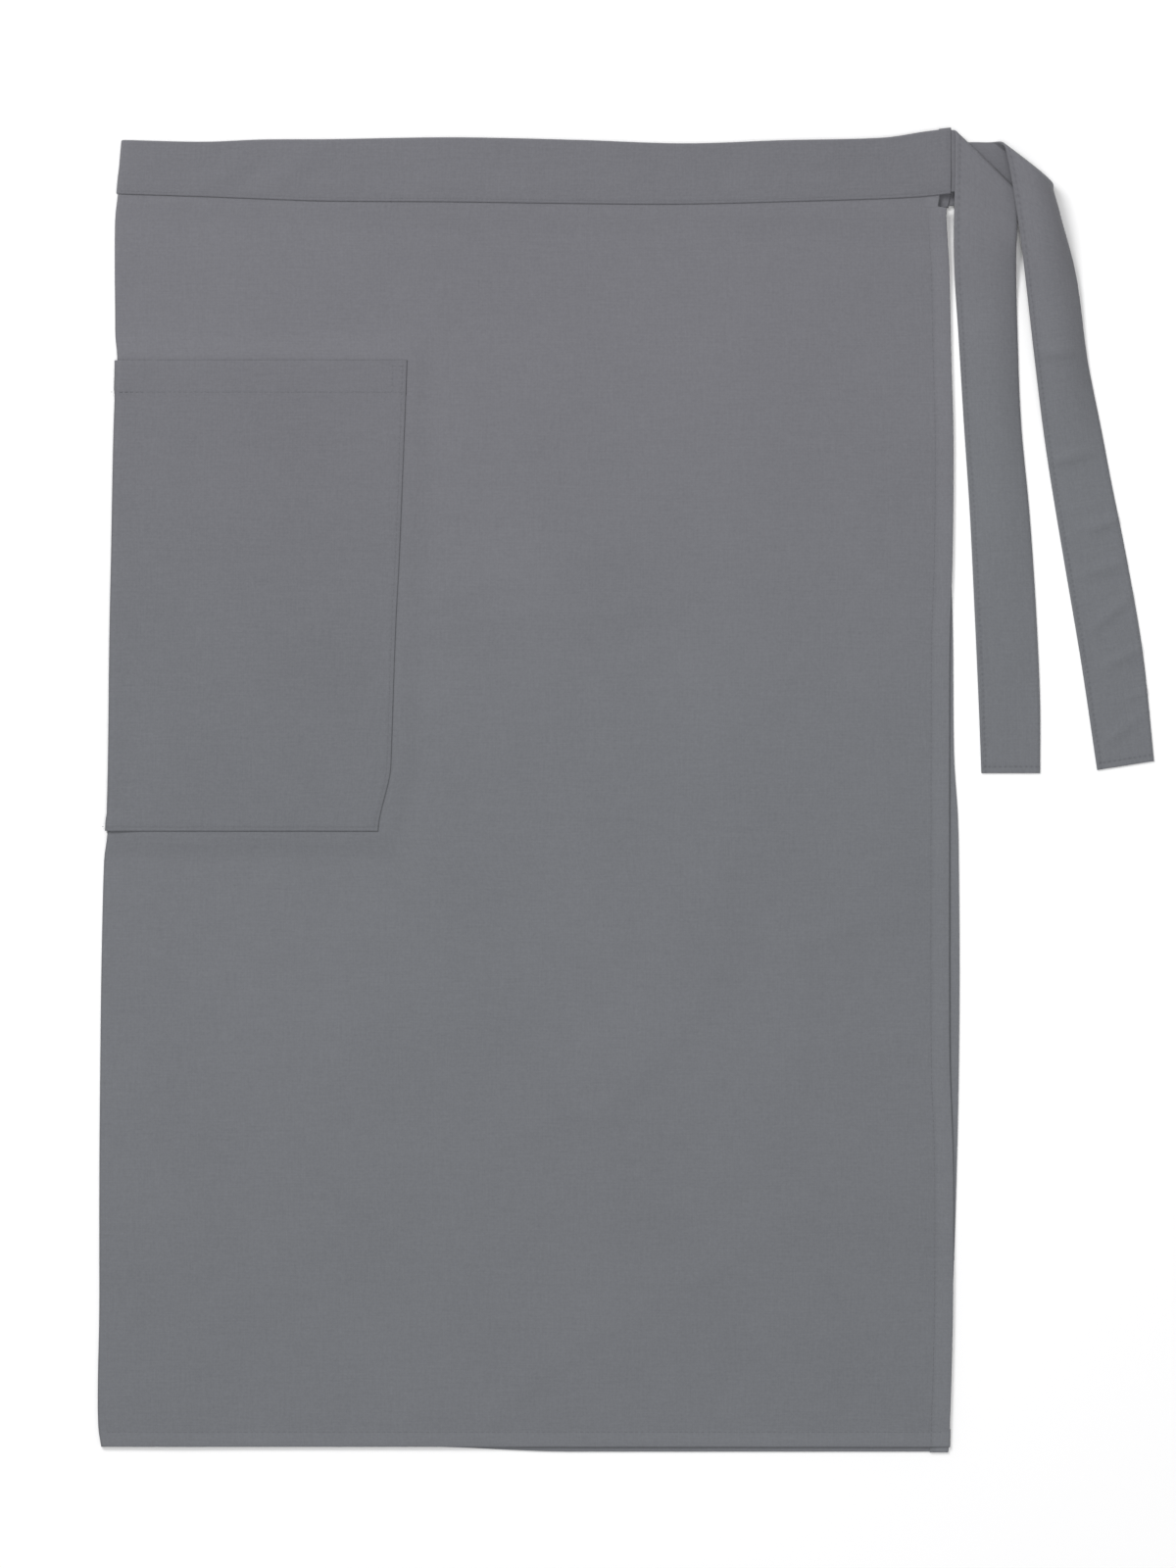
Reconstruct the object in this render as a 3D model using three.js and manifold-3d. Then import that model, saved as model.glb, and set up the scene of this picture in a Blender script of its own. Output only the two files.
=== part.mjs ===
// A bistro waist apron laid flat and folded in half: a skirt panel folded once down its middle, a patch
// pocket that wraps round the fold, a waistband stitched over the skirt's top edge, and two ties.
// Millimetres. +X runs from the fold to the hems, +Y from the bottom hem to the waistband, and +Z is up,
// with the back leaf on the floor at Z = 0 and the front leaf on top of it.

import * as THREE from 'three';
import Module from 'manifold-3d';
import { mergeVertices } from 'three/addons/utils/BufferGeometryUtils.js';

// Driving sizes of the cloth and of the pieces cut from it.
const cloth = 1;
const sewnGap = 0.3;
const leafGap = 0.8;
const apronLength = 700;
const leafWidth = 450;
const bandHeight = 34;
const seamAllowance = 10;
const sideHem = 9;
const bottomHem = 9;
const pocketHeight = 252;
const pocketReach = 156.5;
const pocketDrop = 118;
const pocketHem = 18;
const pocketTurnUnder = 7;
const pocketTaper = 6.3;
const cornerSlant = 5.5;
const cornerRise = 36;
const mouthGape = 1.4;
const notchWidth = 4.7;
const notchHeight = 7;
const tieWidth = 31.5;
const tieThickness = 1.8;
const frontTieLength = 347.8;
const backTieLength = 368.2;

// How softly the cloth lies: the run of a slope beside a thicker place, and the height of a full fold.
const reliefHeight = 2;
const thicknessStep = 3;
const floorSlope = 16;
const bandSlope = 70;
const hemSlope = 26;
const foldRun = 8;
const gridSpacing = 28;

// The layers of the waistband, which is a strip folded over the skirt's top edge.
const slotHalf = cloth / 2 + sewnGap;
const bandHalf = slotHalf + cloth;
const bandTopHalf = cloth + sewnGap / 2;
const bandSeam = apronLength - bandHeight;
const pocketTop = apronLength - pocketDrop;
const pocketBottom = pocketTop - pocketHeight;

// The leaves' edges, as shares of the leaf's width, at heights that are shares of the apron's length.
const edgeRows = [
  { up: 0.000, fold: -0.0070, frontHem: 1.0030, backHem: 1.0010 },
  { up: 0.015, fold: -0.0104, frontHem: 1.0035, backHem: 1.0020 },
  { up: 0.045, fold: -0.0111, frontHem: 1.0050, backHem: 1.0035 },
  { up: 0.100, fold: -0.0094, frontHem: 1.0070, backHem: 1.0060 },
  { up: 0.150, fold: -0.0093, frontHem: 1.0075, backHem: 1.0090 },
  { up: 0.220, fold: -0.0092, frontHem: 1.0072, backHem: 1.0120 },
  { up: 0.290, fold: -0.0083, frontHem: 1.0035, backHem: 1.0142 },
  { up: 0.360, fold: -0.0070, frontHem: 1.0028, backHem: 1.0150 },
  { up: 0.430, fold: -0.0047, frontHem: 1.0028, backHem: 1.0145 },
  { up: 0.480, fold: -0.0018, frontHem: 1.0028, backHem: 1.0132 },
  { up: 0.530, fold: 0.0000, frontHem: 1.0028, backHem: 1.0085 },
  { up: 0.620, fold: 0.0016, frontHem: 1.0035, backHem: 1.0072 },
  { up: 0.680, fold: 0.0035, frontHem: 1.0066, backHem: 1.0050 },
  { up: 0.770, fold: 0.0062, frontHem: 1.0077, backHem: 1.0020 },
  { up: 0.830, fold: 0.0092, frontHem: 1.0053, backHem: 1.0000 },
  { up: 0.900, fold: 0.0096, frontHem: 1.0028, backHem: 0.9990 },
  { up: 0.945, fold: 0.0106, frontHem: 0.9990, backHem: 0.9985 },
  { up: 0.962, fold: 0.0127, frontHem: 1.0022, backHem: 1.0027 },
  { up: 1.010, fold: 0.0190, frontHem: 1.0024, backHem: 1.0030 },
];

// How far the waistband's top edge and seam rise above their straight lines, as shares of its height.
const bandRows = [
  { across: 0.00, top: 0.000, seam: 0.147, backDrop: 0.00 },
  { across: 0.10, top: -0.030, seam: 0.105, backDrop: 0.00 },
  { across: 0.17, top: 0.005, seam: 0.070, backDrop: 0.00 },
  { across: 0.25, top: 0.010, seam: 0.035, backDrop: 0.00 },
  { across: 0.40, top: 0.040, seam: 0.022, backDrop: 0.01 },
  { across: 0.55, top: 0.000, seam: -0.005, backDrop: 0.02 },
  { across: 0.68, top: -0.055, seam: -0.015, backDrop: 0.04 },
  { across: 0.80, top: -0.005, seam: 0.022, backDrop: 0.08 },
  { across: 0.92, top: 0.035, seam: 0.070, backDrop: 0.15 },
  { across: 0.97, top: 0.130, seam: 0.105, backDrop: 0.19 },
  { across: 1.00, top: 0.180, seam: 0.150, backDrop: 0.21 },
];

// Soft folds of the front leaf. Places are shares of the leaf's width and the apron's length, reach is
// half the fold's breadth as a share of the leaf's width, and height is a share of the relief height.
const foldRows = [
  { name: 'pocket side, upper', x1: 0.37, y1: 0.655, x2: 0.60, y2: 0.688, reach: 0.030, height: 0.55 },
  { name: 'pocket side, lower', x1: 0.38, y1: 0.628, x2: 0.64, y2: 0.645, reach: 0.028, height: 0.45 },
  { name: 'under the band, middle', x1: 0.70, y1: 0.930, x2: 0.76, y2: 0.875, reach: 0.030, height: 0.40 },
  { name: 'under the band, right', x1: 0.86, y1: 0.930, x2: 0.92, y2: 0.895, reach: 0.030, height: 0.30 },
  { name: 'pressed corner, level', x1: 0.82, y1: 0.388, x2: 0.94, y2: 0.412, reach: 0.022, height: 0.35 },
  { name: 'pressed corner, upright', x1: 0.815, y1: 0.380, x2: 0.81, y2: 0.280, reach: 0.022, height: 0.30 },
  { name: 'belly, lower', x1: 0.50, y1: 0.250, x2: 0.65, y2: 0.310, reach: 0.045, height: 0.50 },
  { name: 'belly, upper', x1: 0.67, y1: 0.340, x2: 0.78, y2: 0.490, reach: 0.045, height: 0.45 },
  { name: 'long diagonal', x1: 0.50, y1: 0.055, x2: 0.84, y2: 0.185, reach: 0.030, height: 0.45 },
  { name: 'foot of the diagonal', x1: 0.455, y1: 0.022, x2: 0.50, y2: 0.055, reach: 0.026, height: 0.35 },
  { name: 'left foot', x1: 0.09, y1: 0.170, x2: 0.10, y2: 0.040, reach: 0.060, height: 0.60 },
];

// Puckers of the front of the waistband: across is a share of the leaf's width, lean and reach are
// shares of the band's height, and height is a share of the relief height.
const puckerRows = [
  { across: 0.135, lean: 0.9, reach: 0.28, height: 0.40 },
  { across: 0.205, lean: 0.9, reach: 0.30, height: 0.45 },
];

// The course of each tie: along is a share of its length, width a share of the tie width, aside how far
// it drifts to the right of its straight line as a share of that width, tilt the degrees that its left
// edge is turned up, and arch the degrees that each half of it bends down from its middle.
const frontCourse = [
  { along: 0.00, width: 1.05, aside: 0.00, tilt: 0, arch: 0 },
  { along: 0.10, width: 1.06, aside: 0.00, tilt: 0, arch: 0 },
  { along: 0.20, width: 1.07, aside: -0.02, tilt: 0, arch: 14 },
  { along: 0.32, width: 1.05, aside: 0.035, tilt: 0, arch: 28 },
  { along: 0.46, width: 1.02, aside: 0.113, tilt: 0, arch: 30 },
  { along: 0.60, width: 1.035, aside: 0.236, tilt: 0, arch: 20 },
  { along: 0.75, width: 1.048, aside: 0.332, tilt: 0, arch: 8 },
  { along: 0.89, width: 1.043, aside: 0.40, tilt: 0, arch: 0 },
  { along: 1.00, width: 1.00, aside: 0.424, tilt: 0, arch: 0 },
];
const backCourse = [
  { along: 0.00, width: 1.05, aside: 0.00, tilt: 0, arch: 0 },
  { along: 0.04, width: 1.05, aside: 0.00, tilt: 0, arch: 6 },
  { along: 0.10, width: 1.04, aside: 0.04, tilt: 22, arch: 62 },
  { along: 0.15, width: 1.03, aside: 0.10, tilt: 24, arch: 66 },
  { along: 0.22, width: 1.02, aside: 0.11, tilt: 19, arch: 58 },
  { along: 0.30, width: 1.02, aside: 0.08, tilt: 12, arch: 48 },
  { along: 0.42, width: 1.02, aside: 0.02, tilt: 7, arch: 46 },
  { along: 0.56, width: 1.01, aside: 0.01, tilt: 1, arch: 12 },
  { along: 0.70, width: 1.055, aside: 0.048, tilt: 0, arch: 0 },
  { along: 0.84, width: 1.06, aside: 0.067, tilt: 0, arch: 0 },
  { along: 1.00, width: 0.98, aside: 0.008, tilt: 0, arch: 0 },
];

// Crumples of the back tie: along is a share of its length, side and reach are shares of its width.
const crumpleRows = [
  { along: 0.42, side: 0.1, reach: 0.30, height: 0.35 },
  { along: 0.56, side: 0.0, reach: 0.32, height: 0.40 },
  { along: 0.655, side: 0.2, reach: 0.26, height: 0.35 },
  { along: 0.76, side: 0.1, reach: 0.24, height: 0.30 },
  { along: 0.845, side: 0.3, reach: 0.22, height: 0.35 },
  { along: 0.93, side: 0.3, reach: 0.20, height: 0.30 },
];

// The two ties. Directions are degrees from +X. The incoming stretch leaves the band's end, and the fold
// lays the rest over it: run is the distance to the fold's edge, as a share of the tie width, and roll the
// radius that it turns on, as a share of the tie's thickness. Between the shares hold and land of its
// length the tie comes down to the floor.
const frontTie = {
  length: frontTieLength, incoming: 2, outgoing: -90, run: 0.586, roll: 0.72, hold: 0.115, land: 0.3,
  course: frontCourse, crumples: [],
};
const backTie = {
  length: backTieLength, incoming: 6, outgoing: -81, run: 1.32, roll: 1.11, hold: 0.12, land: 0.45,
  course: backCourse, crumples: crumpleRows,
};

// A smooth curve through a table's rows: the value of one column where another has the value given.
function through(rows, key, column, value) {
  const last = rows.length - 1;
  const at = THREE.MathUtils.clamp(value, rows[0][key], rows[last][key]);
  let i = 0;
  while (i < last - 1 && rows[i + 1][key] < at) i++;
  const slope = (n) => {
    const before = rows[Math.max(n - 1, 0)];
    const after = rows[Math.min(n + 1, last)];
    return (after[column] - before[column]) / (after[key] - before[key]);
  };
  const run = rows[i + 1][key] - rows[i][key];
  const t = (at - rows[i][key]) / run;
  const ease = t * t * (3 - 2 * t);
  const bulge = t * (1 - t) * run * ((1 - t) * slope(i) - t * slope(i + 1));
  return rows[i][column] * (1 - ease) + rows[i + 1][column] * ease + bulge;
}

const smoothstep = (t) => THREE.MathUtils.smoothstep(t, 0, 1);
const softMax = (...values) => Math.pow(values.reduce((sum, v) => sum + v ** 4, 0), 0.25);
const hemEdge = (y, front) => leafWidth
  * through(edgeRows, 'up', front ? 'frontHem' : 'backHem', y / apronLength);

// The waistband's seam and top edge. away is the distance from the fold, positive on the front leaf.
function seamAt(away) {
  const share = Math.abs(away) / leafWidth;
  const drop = away < 0 ? through(bandRows, 'across', 'backDrop', share) : 0;
  return bandSeam + bandHeight * (through(bandRows, 'across', 'seam', share) - drop);
}
function topAt(away) {
  const share = Math.abs(away) / leafWidth;
  const drop = away < 0 ? through(bandRows, 'across', 'backDrop', share) : 0;
  return apronLength + bandHeight * (through(bandRows, 'across', 'top', share) - drop);
}

// The pocket is one cloth thick, and two where it is hemmed or turned under.
function pocketThickness(reach, y) {
  const atMouth = smoothstep((y - (pocketTop - pocketHem)) / thicknessStep + 0.5);
  const atFoot = smoothstep((pocketBottom + pocketTurnUnder - y) / thicknessStep + 0.5);
  const atSide = smoothstep((reach - (pocketReach - pocketTurnUnder)) / thicknessStep + 0.5);
  return cloth * (1 + Math.max(atMouth, atFoot, atSide));
}

// What the cloth is pushed aside by: the pocket that it carries, and the waistband that it runs into.
function besidePocket(reach, y) {
  const inX = Math.min(reach, pocketReach);
  const inY = THREE.MathUtils.clamp(y, pocketBottom, pocketTop);
  const outside = Math.hypot(reach - inX, y - inY);
  return (sewnGap + pocketThickness(inX, inY)) * smoothstep(1 - outside / floorSlope);
}
const besideBand = (y, seam) => (bandHalf - cloth / 2) * smoothstep(1 - (seam - y) / floorSlope);

// The back leaf is lifted off the floor by them, and the fold is drawn in.
const liftOfBack = (reach, y, seam) => Math.max(besidePocket(reach, y), besideBand(y, seam));
const foldEdge = (y) => leafWidth * through(edgeRows, 'up', 'fold', y / apronLength)
  + 0.6 * (besidePocket(0, y) + besideBand(y, seamAt(0)));

// The soft folds of the front leaf at a place, in millimetres.
function foldRelief(reach, y) {
  let sum = 0;
  for (const row of foldRows) {
    const start = new THREE.Vector2(row.x1 * leafWidth, row.y1 * apronLength);
    const run = new THREE.Vector2(row.x2 * leafWidth, row.y2 * apronLength).sub(start);
    const place = new THREE.Vector2(reach, y).sub(start);
    const along = THREE.MathUtils.clamp(place.dot(run) / run.lengthSq(), 0, 1);
    const aside = place.addScaledVector(run, -along).length() / (row.reach * leafWidth);
    sum += row.height * reliefHeight * Math.exp(-aside * aside);
  }
  return sum;
}

// The air that is left between the leaves: enough for the hems and the waistband, and more at the folds.
function puff(reach, y, seam) {
  const nearBand = (2 * bandHalf - cloth) * smoothstep(1 - (seam - y) / bandSlope);
  const nearHem = 2 * cloth * smoothstep(1 - (leafWidth - sideHem - thicknessStep - reach) / hemSlope);
  const nearFoot = 2 * cloth * smoothstep(1 - (y - bottomHem - thicknessStep) / hemSlope);
  return softMax(nearBand, nearHem, nearFoot, foldRelief(reach, y));
}

// The height of the middle of a leaf's cloth.
function leafLevel(away, y) {
  const reach = Math.abs(away);
  const back = cloth / 2 + liftOfBack(reach, y, seamAt(-reach));
  return away < 0 ? back : back + cloth + leafGap + puff(reach, y, seamAt(reach));
}

// The middle of the folded cloth at a distance from the fold, positive on the front leaf. The cloth
// turns round the fold on a half circle.
function clothPoint(away, y) {
  const low = leafLevel(-0.001, y);
  const high = leafLevel(0, y);
  const turnRadius = (high - low) / 2;
  const halfTurn = (Math.PI / 2) * turnRadius;
  const turnX = foldEdge(y) + turnRadius;
  if (Math.abs(away) < halfTurn) {
    const angle = away / turnRadius;
    const x = turnX - turnRadius * Math.cos(angle);
    return new THREE.Vector3(x, y, (high + low) / 2 + turnRadius * Math.sin(angle));
  }
  const share = (Math.abs(away) - halfTurn) / (leafWidth - halfTurn);
  const x = THREE.MathUtils.lerp(turnX, hemEdge(y, away > 0), share) - leanOfPocket(Math.abs(away), y);
  return new THREE.Vector3(x, y, leafLevel(away, y));
}

// The pocket's side leans in towards its foot, with a short slant at the corner, and the cloth follows.
function leanOfPocket(reach, y) {
  const down = THREE.MathUtils.clamp((pocketTop - y) / pocketHeight, 0, 1);
  const belowPocket = smoothstep(1 - (pocketBottom - y) / (2 * floorSlope));
  const corner = cornerSlant * smoothstep(1 - (y - pocketBottom) / cornerRise);
  const share = Math.min(reach / pocketReach, (leafWidth - reach) / (leafWidth - pocketReach));
  return (pocketTaper * down + corner) * belowPocket * share ** 2;
}

// The cloth's outward direction, away from the other leaf.
function clothNormal(away, y) {
  const step = 0.25;
  const acrossRun = clothPoint(away + step, y).sub(clothPoint(away - step, y));
  const upRun = clothPoint(away, y + step).sub(clothPoint(away, y - step));
  return acrossRun.cross(upRun).normalize();
}

const offCloth = (away, y, outward) => clothPoint(away, y).addScaledVector(clothNormal(away, y), outward);

// A closed solid from a grid of loops: loops[i] is a ring of points, and the first and last are capped.
// Each ring goes up one face of the cloth and down the other. Both faces split their quads along the same
// diagonal, so that the wall keeps its thickness: goesDown tells which stretches of the ring are the second.
function loft(loops, goesDown = (j, ring) => j >= ring / 2) {
  const ring = loops[0].length;
  const positions = loops.flat().flatMap((p) => [p.x, p.y, p.z]);
  const index = [];
  for (let i = 0; i < loops.length - 1; i++) {
    for (let j = 0; j < ring; j++) {
      const a = i * ring + j;
      const b = i * ring + ((j + 1) % ring);
      if (goesDown(j, ring)) index.push(a, a + ring, b, b, a + ring, b + ring);
      else index.push(a, b + ring, b, a, a + ring, b + ring);
    }
  }
  const lastRing = (loops.length - 1) * ring;
  for (let j = 0; j < ring / 2 - 1; j++) {
    const k = ring - 1 - j;
    index.push(j, j + 1, k, j + 1, k - 1, k);
    index.push(lastRing + j, lastRing + k, lastRing + j + 1);
    index.push(lastRing + j + 1, lastRing + k, lastRing + k - 1);
  }
  const geometry = new THREE.BufferGeometry();
  geometry.setAttribute('position', new THREE.Float32BufferAttribute(positions, 3));
  geometry.setIndex(index);
  geometry.computeVertexNormals();
  return geometry;
}

// Numbers in order, without those that lie closer than the gap to the one before.
const inOrder = (numbers, gap) => [...numbers].sort((a, b) => a - b)
  .filter((n, i, all) => i === 0 || n - all[i - 1] > gap);
function evenly(low, high, spacing) {
  const count = Math.max(1, Math.round((high - low) / spacing));
  return Array.from({ length: count + 1 }, (_, i) => low + ((high - low) * i) / count);
}

// Distances from the fold where each piece's grid has a column, from the back hem round to the front
// one. The pieces share them, so that the layers keep their gaps between the columns too.
const hemStart = leafWidth - sideHem;
const pocketTurn = pocketReach - pocketTurnUnder;
const sideColumns = inOrder([
  ...evenly(foldRun, pocketTurn - thicknessStep / 2, gridSpacing), pocketTurn + thicknessStep / 2,
  pocketReach, ...evenly(pocketReach + floorSlope, hemStart - thicknessStep, gridSpacing),
  hemStart, leafWidth,
], 0.5);
const foldColumns = evenly(-foldRun, foldRun, foldRun / 4).slice(1, -1);
const columnsTo = (reach) => [
  ...sideColumns.filter((c) => c <= reach).map((c) => -c).reverse(),
  ...foldColumns,
  ...sideColumns.filter((c) => c <= reach),
];

// Heights where the pocket has a row, and the skirt beneath it too.
const pocketRows = inOrder([
  pocketBottom, pocketBottom + pocketTurnUnder - thicknessStep / 2,
  ...evenly(pocketBottom + pocketTurnUnder + thicknessStep / 2, pocketTop - pocketHem - thicknessStep / 2,
    gridSpacing),
  pocketTop - pocketHem + thicknessStep / 2, pocketTop,
], 0.5);

// The skirt: one cloth folded in half, hemmed down both sides and along the bottom on its wrong side.
function skirtGeometry() {
  const rows = [
    0, bottomHem,
    ...evenly(bottomHem + thicknessStep, pocketBottom - floorSlope, gridSpacing), ...pocketRows,
    ...evenly(pocketTop + floorSlope, bandSeam - bandHeight, gridSpacing),
  ];
  const loops = columnsTo(leafWidth).map((away) => {
    const seam = seamAt(away);
    const heights = [...rows, seam - floorSlope, seam - 1, seam, seam + seamAllowance];
    const doubled = (y) => {
      const atSide = smoothstep((Math.abs(away) - hemStart + thicknessStep) / thicknessStep);
      const belowBand = y < seam - 0.5 ? 1 : 0;
      const atFoot = smoothstep((bottomHem + thicknessStep - y) / thicknessStep);
      return cloth * Math.max(atSide * belowBand, atFoot);
    };
    const outer = heights.map((y) => offCloth(away, y, cloth / 2));
    const inner = heights.map((y) => offCloth(away, y, -cloth / 2 - doubled(y)));
    return [...outer, ...inner.reverse()];
  });
  return loft(loops);
}

// The pocket: a patch on the outside of the cloth, centred on the fold and open at the top.
function pocketGeometry() {
  const loops = columnsTo(pocketReach).map((away) => {
    const gape = (y) => {
      const open = away > 0 ? Math.sin((Math.PI * away) / pocketReach) : 0;
      return mouthGape * open * smoothstep((y - pocketTop) / (3 * pocketHem) + 1);
    };
    const innerOff = (y) => cloth / 2 + sewnGap + gape(y);
    const thick = (y) => pocketThickness(Math.abs(away), y);
    const outer = pocketRows.map((y) => offCloth(away, y, innerOff(y) + thick(y)));
    const inner = pocketRows.map((y) => offCloth(away, y, innerOff(y)));
    return [...outer, ...inner.reverse()];
  });
  return loft(loops);
}

// The puckers of the waistband's front at a place, in millimetres.
function puckerRelief(away, rise) {
  let sum = 0;
  for (const row of puckerRows) {
    const centre = row.across * leafWidth + row.lean * bandHeight * (rise - 0.5);
    const aside = (away - centre) / (row.reach * bandHeight);
    sum += row.height * reliefHeight * Math.exp(-aside * aside) * Math.sin(Math.PI * rise);
  }
  return sum;
}

// The waistband: a strip folded along its top edge, with the skirt's top edge in the slot between its walls.
function waistbandGeometry() {
  const slotTop = (seamAllowance + 2 * sewnGap) / bandHeight;
  const profile = [
    { rise: 0.00, half: bandHalf }, { rise: slotTop, half: bandHalf },
    { rise: slotTop + 0.22, half: bandTopHalf }, { rise: 0.80, half: bandTopHalf },
    { rise: 0.97, half: bandTopHalf }, { rise: 1.00, half: cloth / 2 },
  ];
  const hollow = [
    { rise: 0.94, half: bandTopHalf - cloth }, { rise: slotTop + 0.22, half: bandTopHalf - cloth },
    { rise: slotTop, half: slotHalf }, { rise: 0.00, half: slotHalf },
  ];
  const loops = columnsTo(leafWidth).map((away) => {
    const seam = seamAt(away);
    const height = topAt(away) - seam;
    const point = ({ rise, half }, side) => {
      const pucker = away > 0 ? puckerRelief(away, rise) * Math.max(0, side) : 0;
      return offCloth(away, seam + rise * height, side * half + pucker);
    };
    const front = profile.map((p) => point(p, 1));
    const back = profile.map((p) => point(p, -1)).reverse();
    const backHollow = hollow.map((p) => point(p, -1)).reverse();
    const frontHollow = hollow.map((p) => point(p, 1));
    return { front, back, backHollow, frontHollow };
  });
  return hairpin(loops);
}

// A closed solid from hairpin sections: the walls' outside, then back up and down the slot between them.
function hairpin(sections) {
  const loops = sections.map((s) => [...s.front, ...s.back, ...s.backHollow, ...s.frontHollow]);
  const ring = loops[0].length;
  const outside = sections[0].front.length;
  const inside = sections[0].frontHollow.length;
  const goesDown = (j) => (j >= outside && j < 2 * outside) || j >= ring - inside;
  const geometry = loft(loops, goesDown);
  // The caps: each wall's end is a band between its outside and its hollow, and the top joins the two.
  const endFaces = [];
  const pairUp = (a, b) => {
    const faces = [];
    for (let i = 0, j = 0; i < a.length - 1 || j < b.length - 1;) {
      if (j >= b.length - 1 || (i < a.length - 1 && (i + 1) / a.length <= (j + 1) / b.length)) {
        faces.push([a[i], a[i + 1], b[j]]);
        i++;
      } else {
        faces.push([a[i], b[j + 1], b[j]]);
        j++;
      }
    }
    return faces;
  };
  const frontOut = Array.from({ length: outside }, (_, i) => i);
  const frontIn = Array.from({ length: inside }, (_, i) => ring - 1 - i);
  const backOut = Array.from({ length: outside }, (_, i) => 2 * outside - 1 - i);
  const backIn = Array.from({ length: inside }, (_, i) => 2 * outside + i);
  endFaces.push(...pairUp(frontOut, frontIn));
  endFaces.push(...pairUp(backOut, backIn).map(([a, b, c]) => [a, c, b]));
  const tipOut = [frontOut[outside - 1], backOut[outside - 1]];
  const tipIn = [frontIn[inside - 1], backIn[inside - 1]];
  endFaces.push([tipOut[0], tipOut[1], tipIn[0]], [tipOut[1], tipIn[1], tipIn[0]]);
  const sides = Array.from(geometry.index.array).slice(0, (loops.length - 1) * ring * 6);
  const last = (loops.length - 1) * ring;
  const index = [...sides, ...endFaces.flat(),
    ...endFaces.flatMap(([a, b, c]) => [last + a, last + c, last + b])];
  geometry.setIndex(index);
  geometry.computeVertexNormals();
  return geometry;
}

// The cross-section of a tie that is tilted and arched, as the shift of a place from its flat one: to
// the side, and up from the lower edge.
function sectionPoint(tilt, arch, across, halfWidth) {
  const bend = Math.max(arch, 1e-4) / halfWidth;
  const side = (Math.sin(tilt) - Math.sin(tilt - bend * across)) / bend;
  const rise = (s) => (Math.cos(tilt - bend * s) - Math.cos(tilt)) / bend;
  return {
    side: side - across,
    rise: rise(across) - Math.min(rise(halfWidth), rise(-halfWidth), 0),
  };
}

// Where a tie's roll begins and how much of the strip it takes, along the strip's middle.
function rollOf(tie) {
  const radius = tie.roll * tieThickness;
  const crossing = Math.sin(THREE.MathUtils.degToRad((tie.incoming - tie.outgoing) / 2));
  const start = tie.run * tieWidth - radius / crossing;
  return { radius, start, end: start + (Math.PI * radius) / crossing };
}

// A tie, worked out on its flat strip: along runs from the band's end, and acrossShare from half a width
// below the strip's middle to half a width above it. The strip is laid over itself on a slanting fold.
function tiePoint(tie, along, acrossShare, outward) {
  const roll = rollOf(tie);
  const inward = THREE.MathUtils.degToRad(tie.incoming);
  const foldAngle = THREE.MathUtils.degToRad((tie.incoming + tie.outgoing) / 2);
  const strip = new THREE.Vector2(Math.cos(inward), Math.sin(inward));
  const aside = new THREE.Vector2(-strip.y, strip.x);
  const creaseRun = new THREE.Vector2(Math.cos(foldAngle), Math.sin(foldAngle));
  const beyond = new THREE.Vector2(-creaseRun.y, creaseRun.x);
  const slant = 1 / Math.tan(inward - foldAngle);

  // The grid's columns are square to the band at its end and follow the slant at the fold.
  const columnSlant = along < roll.start
    ? THREE.MathUtils.lerp(-Math.tan(inward), slant, along / roll.start)
    : slant * (1 - smoothstep((along - roll.end) / (2 * tieWidth)));
  const share = along / tie.length;
  const course = (column) => through(tie.course, 'along', column, share);
  const width = tieWidth * course('width');
  const across = acrossShare * width;
  const tilt = THREE.MathUtils.degToRad(course('tilt'));
  const arch = THREE.MathUtils.degToRad(Math.max(0, course('arch')));
  const section = sectionPoint(tilt, arch, across, width / 2);
  const flat = strip.clone().multiplyScalar(along - columnSlant * across)
    .addScaledVector(aside, across + section.side);
  const hinge = strip.clone().multiplyScalar(roll.start);
  const distance = flat.clone().sub(hinge).dot(beyond);
  const slide = flat.clone().sub(hinge).dot(creaseRun);

  // Before the fold, on the roll, and laid back over itself.
  let plan = distance;
  let height = tie.level;
  let turned = 0;
  if (distance > Math.PI * roll.radius) {
    const down = smoothstep((share - tie.hold) / (tie.land - tie.hold));
    plan = Math.PI * roll.radius - distance;
    height = THREE.MathUtils.lerp(tie.level + 2 * roll.radius, tieThickness / 2, down);
    turned = Math.PI;
  } else if (distance > 0) {
    turned = distance / roll.radius;
    plan = roll.radius * Math.sin(turned);
    height = tie.level + roll.radius * (1 - Math.cos(turned));
  }
  height += section.rise * (1 - Math.cos(turned)) / 2;
  const place = hinge.addScaledVector(creaseRun, slide)
    .addScaledVector(beyond, plan - Math.sin(turned) * outward);
  const shift = tieWidth * course('aside');
  return new THREE.Vector3(
    tie.originX + place.x + shift,
    tie.originY + place.y,
    height + Math.cos(turned) * outward + crumpleRelief(tie, along, across),
  );
}

// The crumples of a tie at a place on its strip, in millimetres.
function crumpleRelief(tie, along, across) {
  let sum = 0;
  for (const row of tie.crumples) {
    const off = (along - row.along * tie.length) / (row.reach * tieWidth);
    const aside = across / tieWidth + row.side;
    sum += row.height * reliefHeight * Math.exp(-off * off - 4 * aside * aside);
  }
  return sum;
}

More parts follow.
